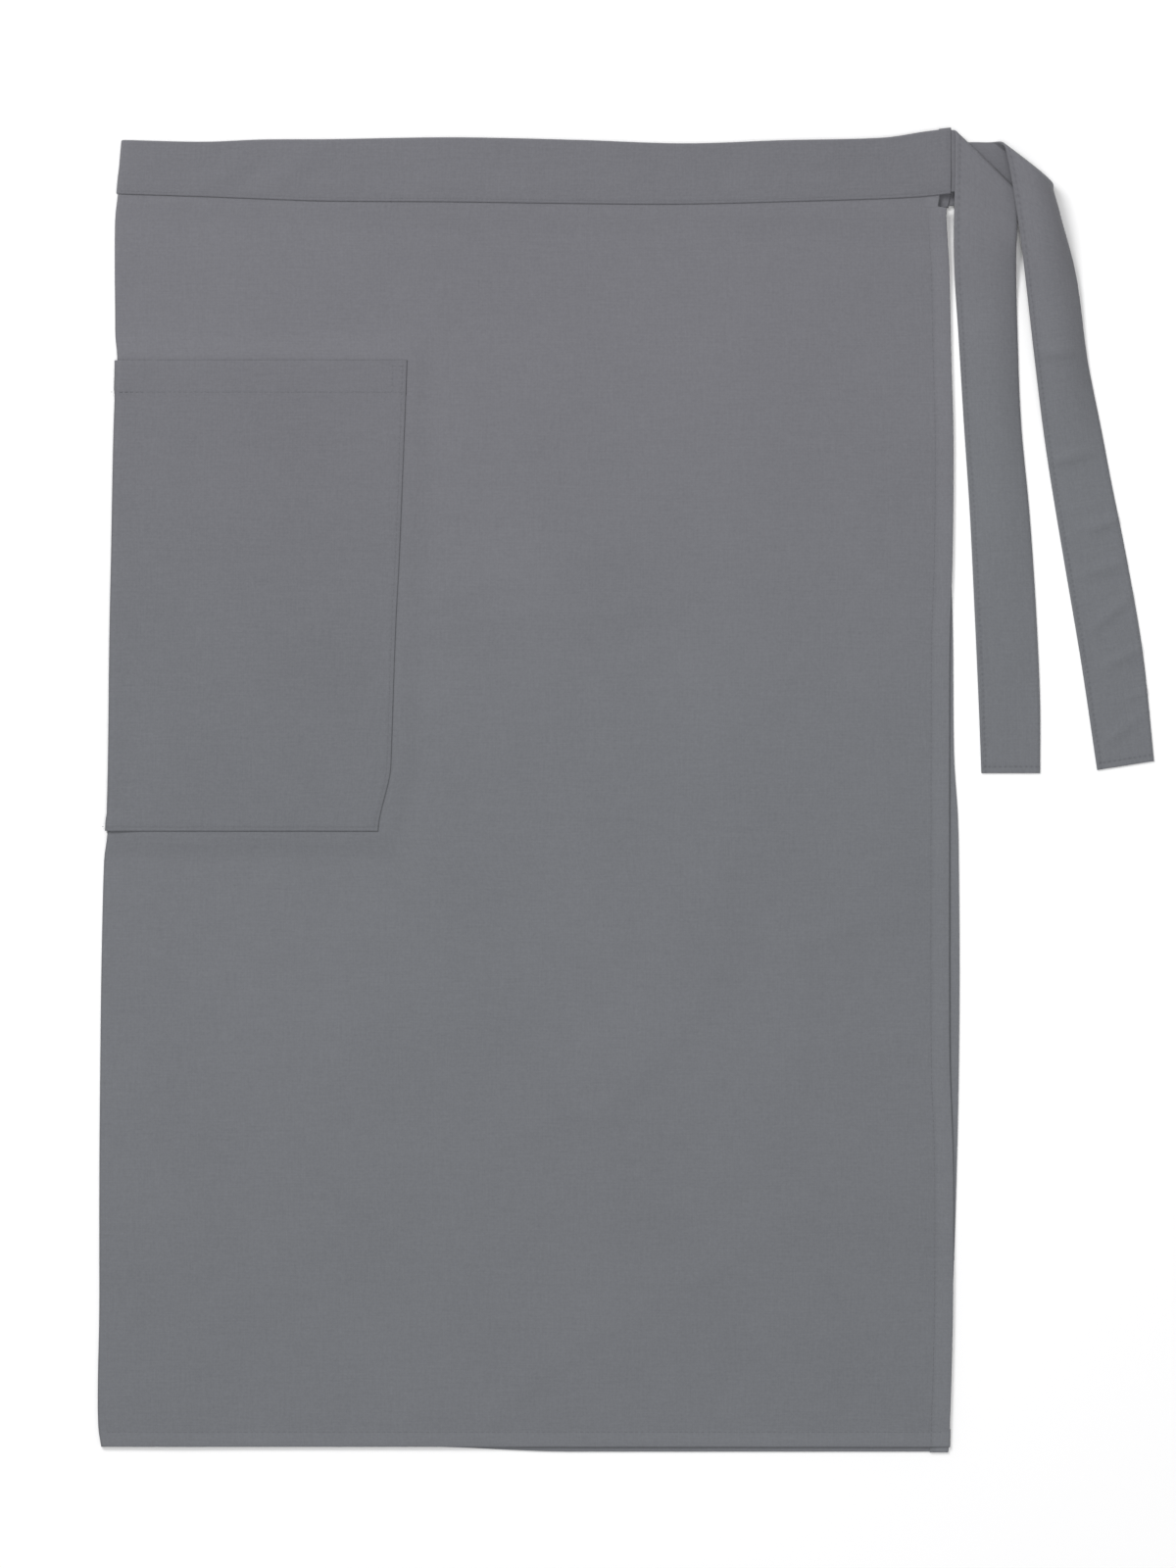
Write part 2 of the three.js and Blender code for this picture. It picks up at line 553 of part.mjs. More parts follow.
// The strip as a solid, with its columns close together at the fold and wide apart below it.
function tieGeometry(tie) {
  const roll = rollOf(tie);
  const foldEnd = roll.end + roll.radius;
  const stations = inOrder([
    ...evenly(0, roll.start, tieWidth / 7), ...evenly(roll.start, foldEnd, roll.radius / 2),
    ...evenly(foldEnd, tie.length, tieWidth / 3),
  ], 0.1);
  const acrossSteps = evenly(-0.5, 0.5, 0.2);
  const loops = stations.map((along) => [
    ...acrossSteps.map((share) => tiePoint(tie, along, share, tieThickness / 2)),
    ...acrossSteps.map((share) => tiePoint(tie, along, share, -tieThickness / 2)).reverse(),
  ]);
  return loft(loops);
}

const wasm = await Module();
wasm.setup();

// A geometry as a manifold-3d solid, and back again.
function toSolid(geometry) {
  const bare = new THREE.BufferGeometry();
  bare.setAttribute('position', geometry.getAttribute('position'));
  bare.setIndex(geometry.index);
  const merged = mergeVertices(bare, 1e-4);
  return new wasm.Manifold(new wasm.Mesh({
    numProp: 3,
    vertProperties: merged.attributes.position.array,
    triVerts: new Uint32Array(merged.index.array),
  }));
}
function toGeometry(solid) {
  const mesh = solid.getMesh();
  const geometry = new THREE.BufferGeometry();
  geometry.setAttribute('position', new THREE.BufferAttribute(mesh.vertProperties, 3));
  geometry.setIndex(new THREE.BufferAttribute(mesh.triVerts, 1));
  geometry.computeVertexNormals();
  return geometry;
}

// The little step in the front leaf's hem, just under the waistband's end.
function cutNotch(skirt) {
  const seam = seamAt(leafWidth);
  const middle = leafLevel(leafWidth, seam);
  const depth = 6 * cloth;
  const box = new THREE.BoxGeometry(2 * notchWidth, notchHeight, depth);
  box.deleteAttribute('normal');
  box.deleteAttribute('uv');
  box.translate(hemEdge(seam, true), seam - notchHeight / 2, middle - cloth + depth / 4);
  return toGeometry(toSolid(skirt).subtract(toSolid(box)));
}

const greyCloth = new THREE.MeshStandardMaterial({ color: 0x75767a, roughness: 0.92, metalness: 0 });
const bandCloth = new THREE.MeshStandardMaterial({ color: 0x78797d, roughness: 0.9, metalness: 0 });
const tieCloth = new THREE.MeshStandardMaterial({ color: 0x76777b, roughness: 0.9, metalness: 0 });
const pocketCloth = new THREE.MeshStandardMaterial({ color: 0x76767b, roughness: 0.92, metalness: 0 });

// Each tie leaves its own end of the waistband, at that end's height.
function placeTie(tie, side) {
  const away = side * leafWidth;
  const ends = [seamAt(away), topAt(away)];
  tie.originX = Math.max(...ends.map((y) => hemEdge(y, side > 0))) + sewnGap;
  tie.originY = (ends[0] + ends[1]) / 2;
  tie.level = leafLevel(away, tie.originY);
}
placeTie(frontTie, 1);
placeTie(backTie, -1);

const apron = new THREE.Group();
function addPiece(name, geometry, material) {
  const mesh = new THREE.Mesh(geometry, material);
  mesh.name = name;
  apron.add(mesh);
}
addPiece('skirt', cutNotch(skirtGeometry()), greyCloth);
addPiece('pocket', pocketGeometry(), pocketCloth);
addPiece('waistband', waistbandGeometry(), bandCloth);
addPiece('front_tie', tieGeometry(frontTie), tieCloth);
addPiece('back_tie', tieGeometry(backTie), tieCloth);

// The origin is at the middle of the laid apron's box, on the floor.
const box = new THREE.Box3().setFromObject(apron);
const middle = box.getCenter(new THREE.Vector3());
apron.position.set(-middle.x, -middle.y, -box.min.z);

const root = new THREE.Group();
root.add(apron);
export default root;
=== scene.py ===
import math
import bmesh
import bpy
from mathutils import Matrix, Vector


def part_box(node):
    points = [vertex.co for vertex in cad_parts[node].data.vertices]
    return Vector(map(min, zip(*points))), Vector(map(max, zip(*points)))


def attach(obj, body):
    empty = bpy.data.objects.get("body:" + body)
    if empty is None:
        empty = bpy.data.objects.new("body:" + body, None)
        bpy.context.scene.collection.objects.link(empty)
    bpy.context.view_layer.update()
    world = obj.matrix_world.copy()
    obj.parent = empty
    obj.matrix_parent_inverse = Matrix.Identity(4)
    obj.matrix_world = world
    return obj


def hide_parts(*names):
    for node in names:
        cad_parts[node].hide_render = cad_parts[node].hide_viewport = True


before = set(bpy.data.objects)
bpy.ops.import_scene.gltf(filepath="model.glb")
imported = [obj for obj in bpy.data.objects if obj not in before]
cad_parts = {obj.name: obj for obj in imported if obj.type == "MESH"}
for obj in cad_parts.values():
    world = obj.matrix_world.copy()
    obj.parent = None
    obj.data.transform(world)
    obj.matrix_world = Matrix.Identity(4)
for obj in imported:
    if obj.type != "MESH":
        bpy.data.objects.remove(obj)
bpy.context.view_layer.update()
mm = 0.001

# The cut of the apron and the room that its layers take, in millimetres. The fold is at x = 0, the bottom
# hem at y = 0 and the floor at z = 0.
apron = {
    "length": 700, "leafWidth": 450, "bandHeight": 34,
    "layer": 1.0, "sewnGap": 0.3, "leafGap": 0.4,
    "sideHem": 9, "bottomHem": 9,
    "hemRoom": 0.1,             # what the turned hems add between the leaves
    "thicknessStep": 3,         # how soon the cloth comes down beside a doubled place
    "reliefHeight": 2, "softness": 0.65, "creaseShare": 0.8,
    "floorSlope": 16, "bandSlope": 70, "hemSlope": 26,
    "foldSwell": 0.6,           # how much of a lift at the fold pushes the fold inwards
    "clothThickness": 0.4,      # the wall of the cloth itself
    "turnRadius": 0.5,          # how round the turned edges are
}
pocket = {
    "drop": 118, "height": 252, "reach": 156.5, "mouthHem": 18, "turnUnder": 7,
    "taper": 6.3, "cornerSlant": 5.5, "cornerRise": 36, "mouthGape": 1.4, "gapeShare": 0.5,
    "clothThickness": 0.36, "turnRadius": 0.4,
    "backOuter": 1.8, "frontOuter": 1.34,       # its outer face above the middle of the skirt's cloth
    "frontDoubled": 0.06,                       # and what a doubled place adds to that on the front
    "frontFrom": -6, "frontRun": 26,            # where the one passes into the other, across the fold
    "backSpacing": 4, "frontSpacing": 3,
    "edgeStitch": 2.2, "cornerStitch": 7.5, "mouthStitch": 17, "cornerDrop": 16, "stitchEnd": 3,
}
bandSeam = apron["length"] - apron["bandHeight"]
bandHalf = 1.5 * apron["layer"] + apron["sewnGap"]
pocketTop = apron["length"] - pocket["drop"]
pocketBottom = pocketTop - pocket["height"]

# Up the apron as shares of its length: the fold, the front hem and the back hem as shares of the leaf.
edgeRows = [
    (0.000, -0.0070, 1.0030, 1.0010), (0.015, -0.0104, 1.0035, 1.0020), (0.045, -0.0111, 1.0050, 1.0035),
    (0.100, -0.0094, 1.0070, 1.0060), (0.150, -0.0093, 1.0075, 1.0090), (0.220, -0.0092, 1.0072, 1.0120),
    (0.290, -0.0083, 1.0035, 1.0142), (0.360, -0.0070, 1.0028, 1.0150), (0.430, -0.0047, 1.0028, 1.0145),
    (0.480, -0.0018, 1.0028, 1.0132), (0.530, 0.0000, 1.0028, 1.0085), (0.620, 0.0016, 1.0035, 1.0072),
    (0.680, 0.0035, 1.0066, 1.0050), (0.770, 0.0062, 1.0077, 1.0020), (0.830, 0.0092, 1.0053, 1.0000),
    (0.900, 0.0096, 1.0028, 0.9990), (0.945, 0.0106, 0.9990, 0.9985), (0.962, 0.0127, 1.0022, 1.0027),
    (1.010, 0.0190, 1.0024, 1.0030),
]
# Across the leaf: the rise of the band's top edge, of its seam, and the drop of the back leaf's band.
bandRows = [
    (0.00, 0.000, 0.147, 0.00), (0.10, -0.030, 0.105, 0.00), (0.17, 0.005, 0.070, 0.00),
    (0.25, 0.010, 0.035, 0.00), (0.40, 0.040, 0.022, 0.01), (0.55, 0.000, -0.005, 0.02),
    (0.68, -0.055, -0.015, 0.04), (0.80, -0.005, 0.022, 0.08), (0.92, 0.035, 0.070, 0.15),
    (0.97, 0.130, 0.105, 0.19), (1.00, 0.180, 0.150, 0.21),
]
# Soft folds of the front leaf: from x, y to x, y as shares, half breadth as a share, height as a share.
foldRows = [
    (0.37, 0.655, 0.60, 0.688, 0.030, 0.55), (0.38, 0.628, 0.64, 0.645, 0.028, 0.45),
    (0.70, 0.930, 0.76, 0.875, 0.030, 0.40), (0.86, 0.930, 0.92, 0.895, 0.030, 0.30),
    (0.82, 0.388, 0.94, 0.412, 0.022, 0.35), (0.815, 0.380, 0.81, 0.280, 0.022, 0.30),
    (0.50, 0.250, 0.65, 0.310, 0.045, 0.50), (0.67, 0.340, 0.78, 0.490, 0.045, 0.45),
    (0.50, 0.055, 0.84, 0.185, 0.030, 0.28), (0.455, 0.022, 0.50, 0.055, 0.026, 0.35),
    (0.09, 0.170, 0.10, 0.040, 0.060, 0.60),
]
# Finer creases of the front leaf in millimetres: from x, y to x, y, half breadth and height.
creaseRows = [
    (322, 660, 346, 617, 5, 0.35), (74, 656, 104, 649, 5, 0.25), (60, 640, 96, 612, 8, 0.20),
    (170, 449, 204, 462, 5, 0.40), (204, 462, 256, 463, 5, 0.35), (172, 437, 224, 446, 5, 0.35),
    (224, 446, 282, 452, 5, 0.25), (418, 285, 374, 270, 5, 0.35), (374, 270, 371, 198, 5, 0.30),
    (214, 164, 267, 182, 7, 0.40), (267, 182, 304, 220, 7, 0.40), (304, 220, 327, 256, 7, 0.35),
    (327, 256, 330, 322, 7, 0.35), (209, 17, 228, 35, 5, 0.30), (228, 35, 277, 67, 5, 0.28),
    (277, 67, 336, 103, 6, 0.26), (336, 103, 378, 124, 6, 0.20), (240, 30, 310, 66, 6, 0.20),
    (120, 300, 170, 285, 9, -0.35), (150, 320, 190, 250, 10, -0.25),
]
# Puckers of the band: across as a share of the leaf; lean, half breadth and height in shares.
puckerRows = [
    (0.135, 0.9, 0.28, 0.40), (0.205, 0.9, 0.30, 0.45), (0.30, 0.7, 0.35, 0.12), (0.62, -0.5, 0.40, 0.12),
    (0.86, -0.6, 0.30, 0.14),
]


def through(rows, column, value):
    # A smooth curve through one column of a table.
    last = len(rows) - 1
    at = min(max(value, rows[0][0]), rows[last][0])
    i = 0
    while i < last - 1 and rows[i + 1][0] < at:
        i += 1

    def slope(n):
        before, after = rows[max(n - 1, 0)], rows[min(n + 1, last)]
        return (after[column] - before[column]) / (after[0] - before[0])

    run = rows[i + 1][0] - rows[i][0]
    t = (at - rows[i][0]) / run
    ease = t * t * (3 - 2 * t)
    bulge = t * (1 - t) * run * ((1 - t) * slope(i) - t * slope(i + 1))
    return rows[i][column] * (1 - ease) + rows[i + 1][column] * ease + bulge


def clamp(value, low, high):
    return min(max(value, low), high)


def smoothstep(value):
    t = clamp(value, 0, 1)
    return t * t * (3 - 2 * t)


def mix(a, b, share):
    return a + (b - a) * share


def evenly(low, high, spacing):
    count = max(1, round((high - low) / spacing))
    return [low + (high - low) * i / count for i in range(count + 1)]


def hemEdge(y, front):
    return apron["leafWidth"] * through(edgeRows, 2 if front else 3, y / apron["length"])


def seamAt(away):
    share = abs(away) / apron["leafWidth"]
    drop = through(bandRows, 3, share) if away < 0 else 0
    return bandSeam + apron["bandHeight"] * (through(bandRows, 2, share) - drop)


def topAt(away):
    share = abs(away) / apron["leafWidth"]
    drop = through(bandRows, 3, share) if away < 0 else 0
    return apron["length"] + apron["bandHeight"] * (through(bandRows, 1, share) - drop)


def pocketThickness(reach, y):
    atMouth = smoothstep((y - (pocketTop - pocket["mouthHem"])) / apron["thicknessStep"] + 0.5)
    atFoot = smoothstep((pocketBottom + pocket["turnUnder"] - y) / apron["thicknessStep"] + 0.5)
    atSide = smoothstep((reach - (pocket["reach"] - pocket["turnUnder"])) / apron["thicknessStep"] + 0.5)
    return apron["layer"] * (1 + max(atMouth, atFoot, atSide))


def besidePocket(reach, y):
    inX = min(reach, pocket["reach"])
    inY = clamp(y, pocketBottom, pocketTop)
    outside = math.hypot(reach - inX, y - inY)
    if outside > apron["floorSlope"]:
        return 0
    return (apron["sewnGap"] + 2 * apron["layer"]) * smoothstep(1 - outside / apron["floorSlope"])


def besideBand(y, seam):
    return (bandHalf - apron["layer"] / 2) * smoothstep(1 - (seam - y) / apron["floorSlope"])


def foldEdge(y):
    swell = apron["foldSwell"] * (besidePocket(0, y) + besideBand(y, seamAt(0)))
    return apron["leafWidth"] * through(edgeRows, 1, y / apron["length"]) + swell


def ridge(x, y, x1, y1, x2, y2, breadth):
    # How much of a fold that runs from one place to another stands at this one.
    runX, runY = x2 - x1, y2 - y1
    along = clamp(((x - x1) * runX + (y - y1) * runY) / (runX * runX + runY * runY), 0, 1)
    aside = math.hypot(x - x1 - along * runX, y - y1 - along * runY) / breadth
    return math.exp(-aside * aside) if aside < 3 else 0


def foldRelief(reach, y):
    wide, tall = apron["leafWidth"], apron["length"]
    total = 0
    for x1, y1, x2, y2, breadth, height in foldRows:
        total += height * apron["reliefHeight"] * ridge(
            reach, y, x1 * wide, y1 * tall, x2 * wide, y2 * tall, breadth * wide)
    return total


def creaseRelief(reach, y):
    return sum(height * ridge(reach, y, x1, y1, x2, y2, breadth)
               for x1, y1, x2, y2, breadth, height in creaseRows)


def puff(reach, y, seam):
    # The air between the leaves: room for hems and band, and more at the folds.
    nearBand = (2 * bandHalf - apron["layer"]) * smoothstep(1 - (seam - y) / apron["bandSlope"])
    room, step, slope = apron["hemRoom"], apron["thicknessStep"], apron["hemSlope"]
    nearHem = room * smoothstep(1 - (apron["leafWidth"] - apron["sideHem"] - step - reach) / slope)
    nearFoot = room * smoothstep(1 - (y - apron["bottomHem"] - step) / slope)
    parts = (nearBand, nearHem, nearFoot, foldRelief(reach, y) * apron["softness"])
    return sum(p ** 4 for p in parts) ** 0.25


def leafLevel(away, y):
    reach = abs(away)
    lift = max(besidePocket(reach, y), besideBand(y, seamAt(-reach)))
    back = apron["layer"] / 2 + lift
    if away < 0:
        return back
    air = puff(reach, y, seamAt(reach)) + apron["creaseShare"] * creaseRelief(reach, y)
    return back + apron["layer"] + apron["leafGap"] + air


def leanOfPocket(reach, y):
    down = clamp((pocketTop - y) / pocket["height"], 0, 1)
    below = smoothstep(1 - (pocketBottom - y) / (2 * apron["floorSlope"]))
    corner = pocket["cornerSlant"] * smoothstep(1 - (y - pocketBottom) / pocket["cornerRise"])
    past = (apron["leafWidth"] - reach) / (apron["leafWidth"] - pocket["reach"])
    share = min(reach / pocket["reach"], past)
    return (pocket["taper"] * down + corner) * below * share * abs(share)


def clothPoint(away, y):
    # The middle of the folded cloth, at a distance from the fold that is positive on the front leaf.
    low, high = leafLevel(-0.001, y), leafLevel(0, y)
    radius = (high - low) / 2
    halfTurn = math.pi / 2 * radius
    turnX = foldEdge(y) + radius
    if abs(away) < halfTurn:
        angle = away / radius
        return Vector((turnX - radius * math.cos(angle), y, (high + low) / 2 + radius * math.sin(angle)))
    reach = abs(away)
    share = (reach - halfTurn) / (apron["leafWidth"] - halfTurn)
    return Vector((mix(turnX, hemEdge(y, away > 0), share) - leanOfPocket(reach, y), y, leafLevel(away, y)))


def clothNormal(away, y):
    step = 0.5
    acrossRun = clothPoint(away + step, y) - clothPoint(away - step, y)
    upRun = clothPoint(away, y + step) - clothPoint(away, y - step)
    return acrossRun.cross(upRun).normalized()


def offCloth(away, y, outward):
    return clothPoint(away, y) + clothNormal(away, y) * outward


# The apron's own coordinates are moved onto the frame by the CAD skirt's left and bottom edges.
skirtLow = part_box("skirt")[0]
leftmost = min(foldEdge(y) for y in range(0, int(bandSeam), 4)) - apron["layer"] / 2
shiftX, shiftY = skirtLow.x - leftmost * mm, skirtLow.y


def placed(point):
    return Vector((point.x * mm + shiftX, point.y * mm + shiftY, point.z * mm))


def turned(flat, low, high, radius):
    # Where a place on the flat cloth lies once its edges are turned under, and how deep below the face.
    for edge, sign in ((high, 1), (low, -1)):
        if edge is None:
            continue
        past = sign * (flat - edge) + radius
        if past > 0:
            angle = min(past / radius, math.pi)
            rest = max(0, past - math.pi * radius)
            return edge + sign * (radius * math.sin(angle) - radius - rest), radius * (1 - math.cos(angle))
    return flat, 0


def turnStations(edge, sign, radius, allowance, steps=6):
    around = [edge + sign * (radius * math.pi * k / steps - radius) for k in range(steps + 1)]
    return around + [edge + sign * (radius * (math.pi - 1) + allowance)]


def inOrder(values, gap=0.05):
    kept = []
    for value in sorted(values):
        if not kept or value - kept[-1] > gap:
            kept.append(value)
    return kept


# Across the fold, where every sheet that wraps round it has closer columns.
foldGrid = {"reach": 12, "spacing": 1.6, "clear": 14}


def bothLeaves(edge, backSpacing, frontSpacing):
    # Columns from the back leaf's edge over the fold to the front leaf's.
    reach, clear = foldGrid["reach"], foldGrid["clear"]
    return (evenly(-edge, -clear, backSpacing) + evenly(-reach, reach, foldGrid["spacing"])
            + evenly(clear, edge, frontSpacing))


def sheetMesh(columns, rows, place):
    # A grid of cloth, with each place's flat position kept as its UV in metres.
    bm = bmesh.new()
    layer = bm.loops.layers.uv.new("cloth")
    across, up = len(columns) - 1, len(rows) - 1
    bmesh.ops.create_grid(bm, x_segments=across, y_segments=up, size=0.5)
    flat = {}
    for vert in bm.verts:
        i, j = round((vert.co.x + 0.5) * across), round((vert.co.y + 0.5) * up)
        flat[vert] = (columns[i] * mm, rows[j] * mm)
        vert.co = placed(place(i, j))
    for face in bm.faces:
        for loop in face.loops:
            loop[layer].uv = flat[loop.vert]
    return bm


def drape(columns, rows, cutX, cutY, radius, outer, surface=clothPoint):
    # A sheet laid over the folded cloth. Its outer face stands off by outer, and its edges are turned
    # under, a little deeper where two of them meet in a corner.
    acrossTurns = [turned(c, *cutX, radius) for c in columns]
    upTurns = [turned(r, *cutY, radius) for r in rows]
    us = sorted({round(a, 4) for a, _ in acrossTurns})
    vs = sorted({round(b, 4) for b, _ in upTurns})
    points = [[surface(u, v) for v in vs] for u in us]
    placeU = {u: i for i, u in enumerate(us)}
    placeV = {v: j for j, v in enumerate(vs)}

    def place(i, j):
        u, depthU = acrossTurns[i]
        v, depthV = upTurns[j]
        a, b = placeU[round(u, 4)], placeV[round(v, 4)]
        a1, a2 = max(a - 1, 0), min(a + 1, len(us) - 1)
        b1, b2 = max(b - 1, 0), min(b + 1, len(vs) - 1)
        normal = (points[a2][b] - points[a1][b]).cross(points[a][b2] - points[a][b1]).normalized()
        depth = max(depthU, depthV) + 0.15 * min(depthU, depthV)
        return points[a][b] + normal * (outer(u, v) - depth)

    return sheetMesh(columns, rows, place)


def finished(name, bm, material, wall=None):
    mesh = bpy.data.meshes.new(name)
    bm.to_mesh(mesh)
    bm.free()
    mesh.shade_smooth()
    mesh.materials.append(material)
    piece = bpy.data.objects.new(name, mesh)
    bpy.context.scene.collection.objects.link(piece)
    if wall:
        thick = piece.modifiers.new("wall", "SOLIDIFY")
        thick.thickness = wall * mm
        thick.offset = -1
    return piece


class Wire:
    # A number that runs through the nodes, so that shader maths reads as an expression.
    def __init__(self, look, socket):
        self.look = look
        self.socket = socket

    def math(self, operation, *values):
        return self.look.node("ShaderNodeMath", {"operation": operation}, dict(enumerate(values)))

    def __add__(self, other):
        return self.math("ADD", self, other)

    def __radd__(self, other):
        return self.math("ADD", other, self)

    def __sub__(self, other):
        return self.math("SUBTRACT", self, other)

    def __rsub__(self, other):
        return self.math("SUBTRACT", other, self)

    def __mul__(self, other):
        return self.math("MULTIPLY", self, other)

    def __rmul__(self, other):
        return self.math("MULTIPLY", other, self)

    def __neg__(self):
        return self.math("MULTIPLY", self, -1)

    def sine(self):
        return self.math("SINE", self)

    def least(self, other):
        return self.math("MINIMUM", self, other)

    def most(self, other):
        return self.math("MAXIMUM", self, other)

    def bell(self):
        # 1 at nought, falling away to nothing at both sides.
        return self.math("EXPONENT", -(self * self))

    def rising(self, low, high):
        return self.look.node("ShaderNodeMapRange", {"interpolation_type": "SMOOTHSTEP"},
                              {"Value": self, "From Min": low, "From Max": high})


class Look:
    # One material, whose nodes are all made by one method.
    def __init__(self, name):
        self.material = bpy.data.materials.new(name)
        self.material.use_nodes = True
        self.tree = self.material.node_tree
        self.tree.nodes.clear()

    def node(self, kind, settings=None, values=None, output=0):
        made = self.tree.nodes.new(kind)
        for key, value in (settings or {}).items():
            setattr(made, key, value)
        for key, value in (values or {}).items():
            if isinstance(value, Wire):
                self.tree.links.new(value.socket, made.inputs[key])
            else:
                made.inputs[key].default_value = value
        return Wire(self, made.outputs[output])

    def finish(self, shader):
        output = self.tree.nodes.new("ShaderNodeOutputMaterial")
        self.tree.links.new(shader.socket, output.inputs["Surface"])
        return self.material


# What a user would change about the cloth. Colours are linear; lengths are in millimetres.
clothLook = {
    "dark": (0.132, 0.138, 0.150), "light": (0.169, 0.177, 0.191),
    "darkest": -1.5, "lightest": 2.0,           # how far past those two a spot may go
    "slubTone": 0.6, "speckTone": 1.15, "blotchTone": 0.35, "weaveTone": 0.05, "hemPaintedLight": 0.22,
    "drift": (1.045, 0.985, 1.01, 1), "driftUp": 0.6, "driftSpots": 0.3,
    "yarn": 0.55, "yarnHeight": 0.018, "slubHeight": 0.05, "speckHeight": 0.03,
    "stitchPitch": 2.9, "dotted": 0.4, "grooveWidth": 0.6, "grooveDepth": 0.06, "paintedSeamShade": 0.2273,
    "roughness": 0.9, "roughSpots": 0.08, "sheen": 0.12, "sheenRoughness": 0.5,
}


def clothMaterial(name, seams, paintedLightShift=0.0, look=clothLook, hems=(), warm=("v", 330, 620)):
    # Plain-weave cloth; seams are stitch lines on the flat cloth as (axis, at, from, to, depth share), whose
    # depth share sets both the groove and a painted shade along it, and hems are doubled strips as (axis,
    # edge, breadth) painted a little lighter, as painted light. The hue drifts from cool to warm between the
    # two places that warm gives.
    m = Look(name)
    flat = m.node("ShaderNodeUVMap", {"uv_map": "cloth"})
    metres = m.node("ShaderNodeSeparateXYZ", {}, {0: flat})
    u = metres * 1000
    v = Wire(m, metres.socket.node.outputs[1]) * 1000

    def noise(scaleU, scaleV, detail=2.0, shift=0.0):
        spot = m.node("ShaderNodeCombineXYZ", {}, {0: u * scaleU + shift, 1: v * scaleV, 2: shift})
        return m.node("ShaderNodeTexNoise", {"noise_dimensions": "3D"},
                      {"Vector": spot, "Scale": 1.0, "Detail": detail, "Roughness": 0.55})

    warp = noise(1.6, 0.07, 2.0, 3.1)          # slubs that run up the cloth
    weft = noise(0.07, 1.6, 2.0, 9.7)          # and across it
    speck = noise(0.8, 0.8, 3.0, 5.3)
    blotch = noise(0.020, 0.016, 2.0, 1.7)
    wobble = (noise(0.15, 0.15, 0.0, 7.7) - 0.5) * 0.8
    turns = 2 * math.pi / look["yarn"]
    weave = ((u + wobble) * turns).sine() * ((v + wobble) * turns).sine()

    groove, shade = 0.0, 0.0
    for axis, at, low, high, depth in seams:
        across, along = (u, v) if axis == "u" else (v, u)
        within = along.rising(low - 1, low + 0.5) * (1 - along.rising(high - 0.5, high + 1))
        line = ((across - at) * (1 / look["grooveWidth"])).bell() * within
        wide = ((across - at) * (0.4 / look["grooveWidth"])).bell() * within
        beat = (along * (2 * math.pi / look["stitchPitch"])).sine() * 0.5 + 0.5
        groove = groove + (line * (0.65 + 0.35 * beat) + wide * beat * 0.35) * depth
        shade = shade + line * (1 - look["dotted"] + look["dotted"] * beat) * depth
    slubs = look["slubTone"] * (warp - 0.5) + look["slubTone"] * (weft - 0.5)
    # a whole piece can be shifted darker or lighter, as painted light on the same cloth
    level = 0.5 + paintedLightShift + slubs + look["speckTone"] * (speck - 0.5) \
        + look["blotchTone"] * (blotch - 0.5) + look["weaveTone"] * weave
    # painted shade: the cloth's colour is darkened along each stitch line, in dots where the stitches dip,
    # standing in for the shade in the grooves
    level = level - shade * look["paintedSeamShade"]
    # painted light: the doubled hem strips are painted lighter, where the raised hems catch more light
    for axis, edge, breadth in hems:
        inward = ((u if axis == "u" else v) - edge) * (1 if breadth > 0 else -1)
        level = level + look["hemPaintedLight"] * (1 - inward.rising(abs(breadth) - 1.5, abs(breadth) + 0.5))
    level = level.most(look["darkest"]).least(look["lightest"])
    color = m.node("ShaderNodeMix", {"data_type": "RGBA", "clamp_factor": False},
                   {0: level, 6: (*look["dark"], 1), 7: (*look["light"], 1)}, output=2)
    axis, cool, rosy = warm
    drift = look["driftUp"] * (u if axis == "u" else v).rising(cool, rosy) \
        + look["driftSpots"] * noise(0.005, 0.004, 1.0, 4.4)
    color = m.node("ShaderNodeMix", {"data_type": "RGBA", "blend_type": "MULTIPLY"},
                   {0: drift, 6: color, 7: look["drift"]}, output=2)
    height = weave * look["yarnHeight"] + (warp + weft) * look["slubHeight"] \
        + speck * look["speckHeight"] - groove * look["grooveDepth"]
    bump = m.node("ShaderNodeBump", {}, {"Strength": 1.0, "Distance": mm, "Height": height})
    rough = look["roughness"] + look["roughSpots"] * (speck - 0.5)
    shader = m.node("ShaderNodeBsdfPrincipled", {}, {
        "Base Color": color, "Roughness": rough, "Normal": bump, "Specular IOR Level": 0.25,
        "Sheen Weight": look["sheen"], "Sheen Roughness": look["sheenRoughness"]})
    return m.finish(shader)


threadLook = {"dark": (0.120, 0.122, 0.134, 1), "light": (0.180, 0.183, 0.198, 1),
              "twist": 2500.0, "roughness": 0.75}


def threadMaterial():
    m = Look("sewing_thread")
    spot = m.node("ShaderNodeTexCoord", {}, {}, output=3)
    twist = m.node("ShaderNodeTexNoise", {}, {"Vector": spot, "Scale": threadLook["twist"], "Detail": 1.0})
    color = m.node("ShaderNodeMix", {"data_type": "RGBA"},
                   {0: twist, 6: threadLook["dark"], 7: threadLook["light"]}, output=2)
    shader = m.node("ShaderNodeBsdfPrincipled", {}, {
        "Base Color": color, "Roughness": threadLook["roughness"], "Specular IOR Level": 0.3})
    return m.finish(shader)


thread = threadMaterial()
stitch = {
    "length": 2.0, "width": 0.36, "height": 0.22, "pitch": 2.9,
    "lift": 0.02,       # how far its middle lies above the cloth
    "probe": 0.6,       # how far along the seam its direction is taken
}


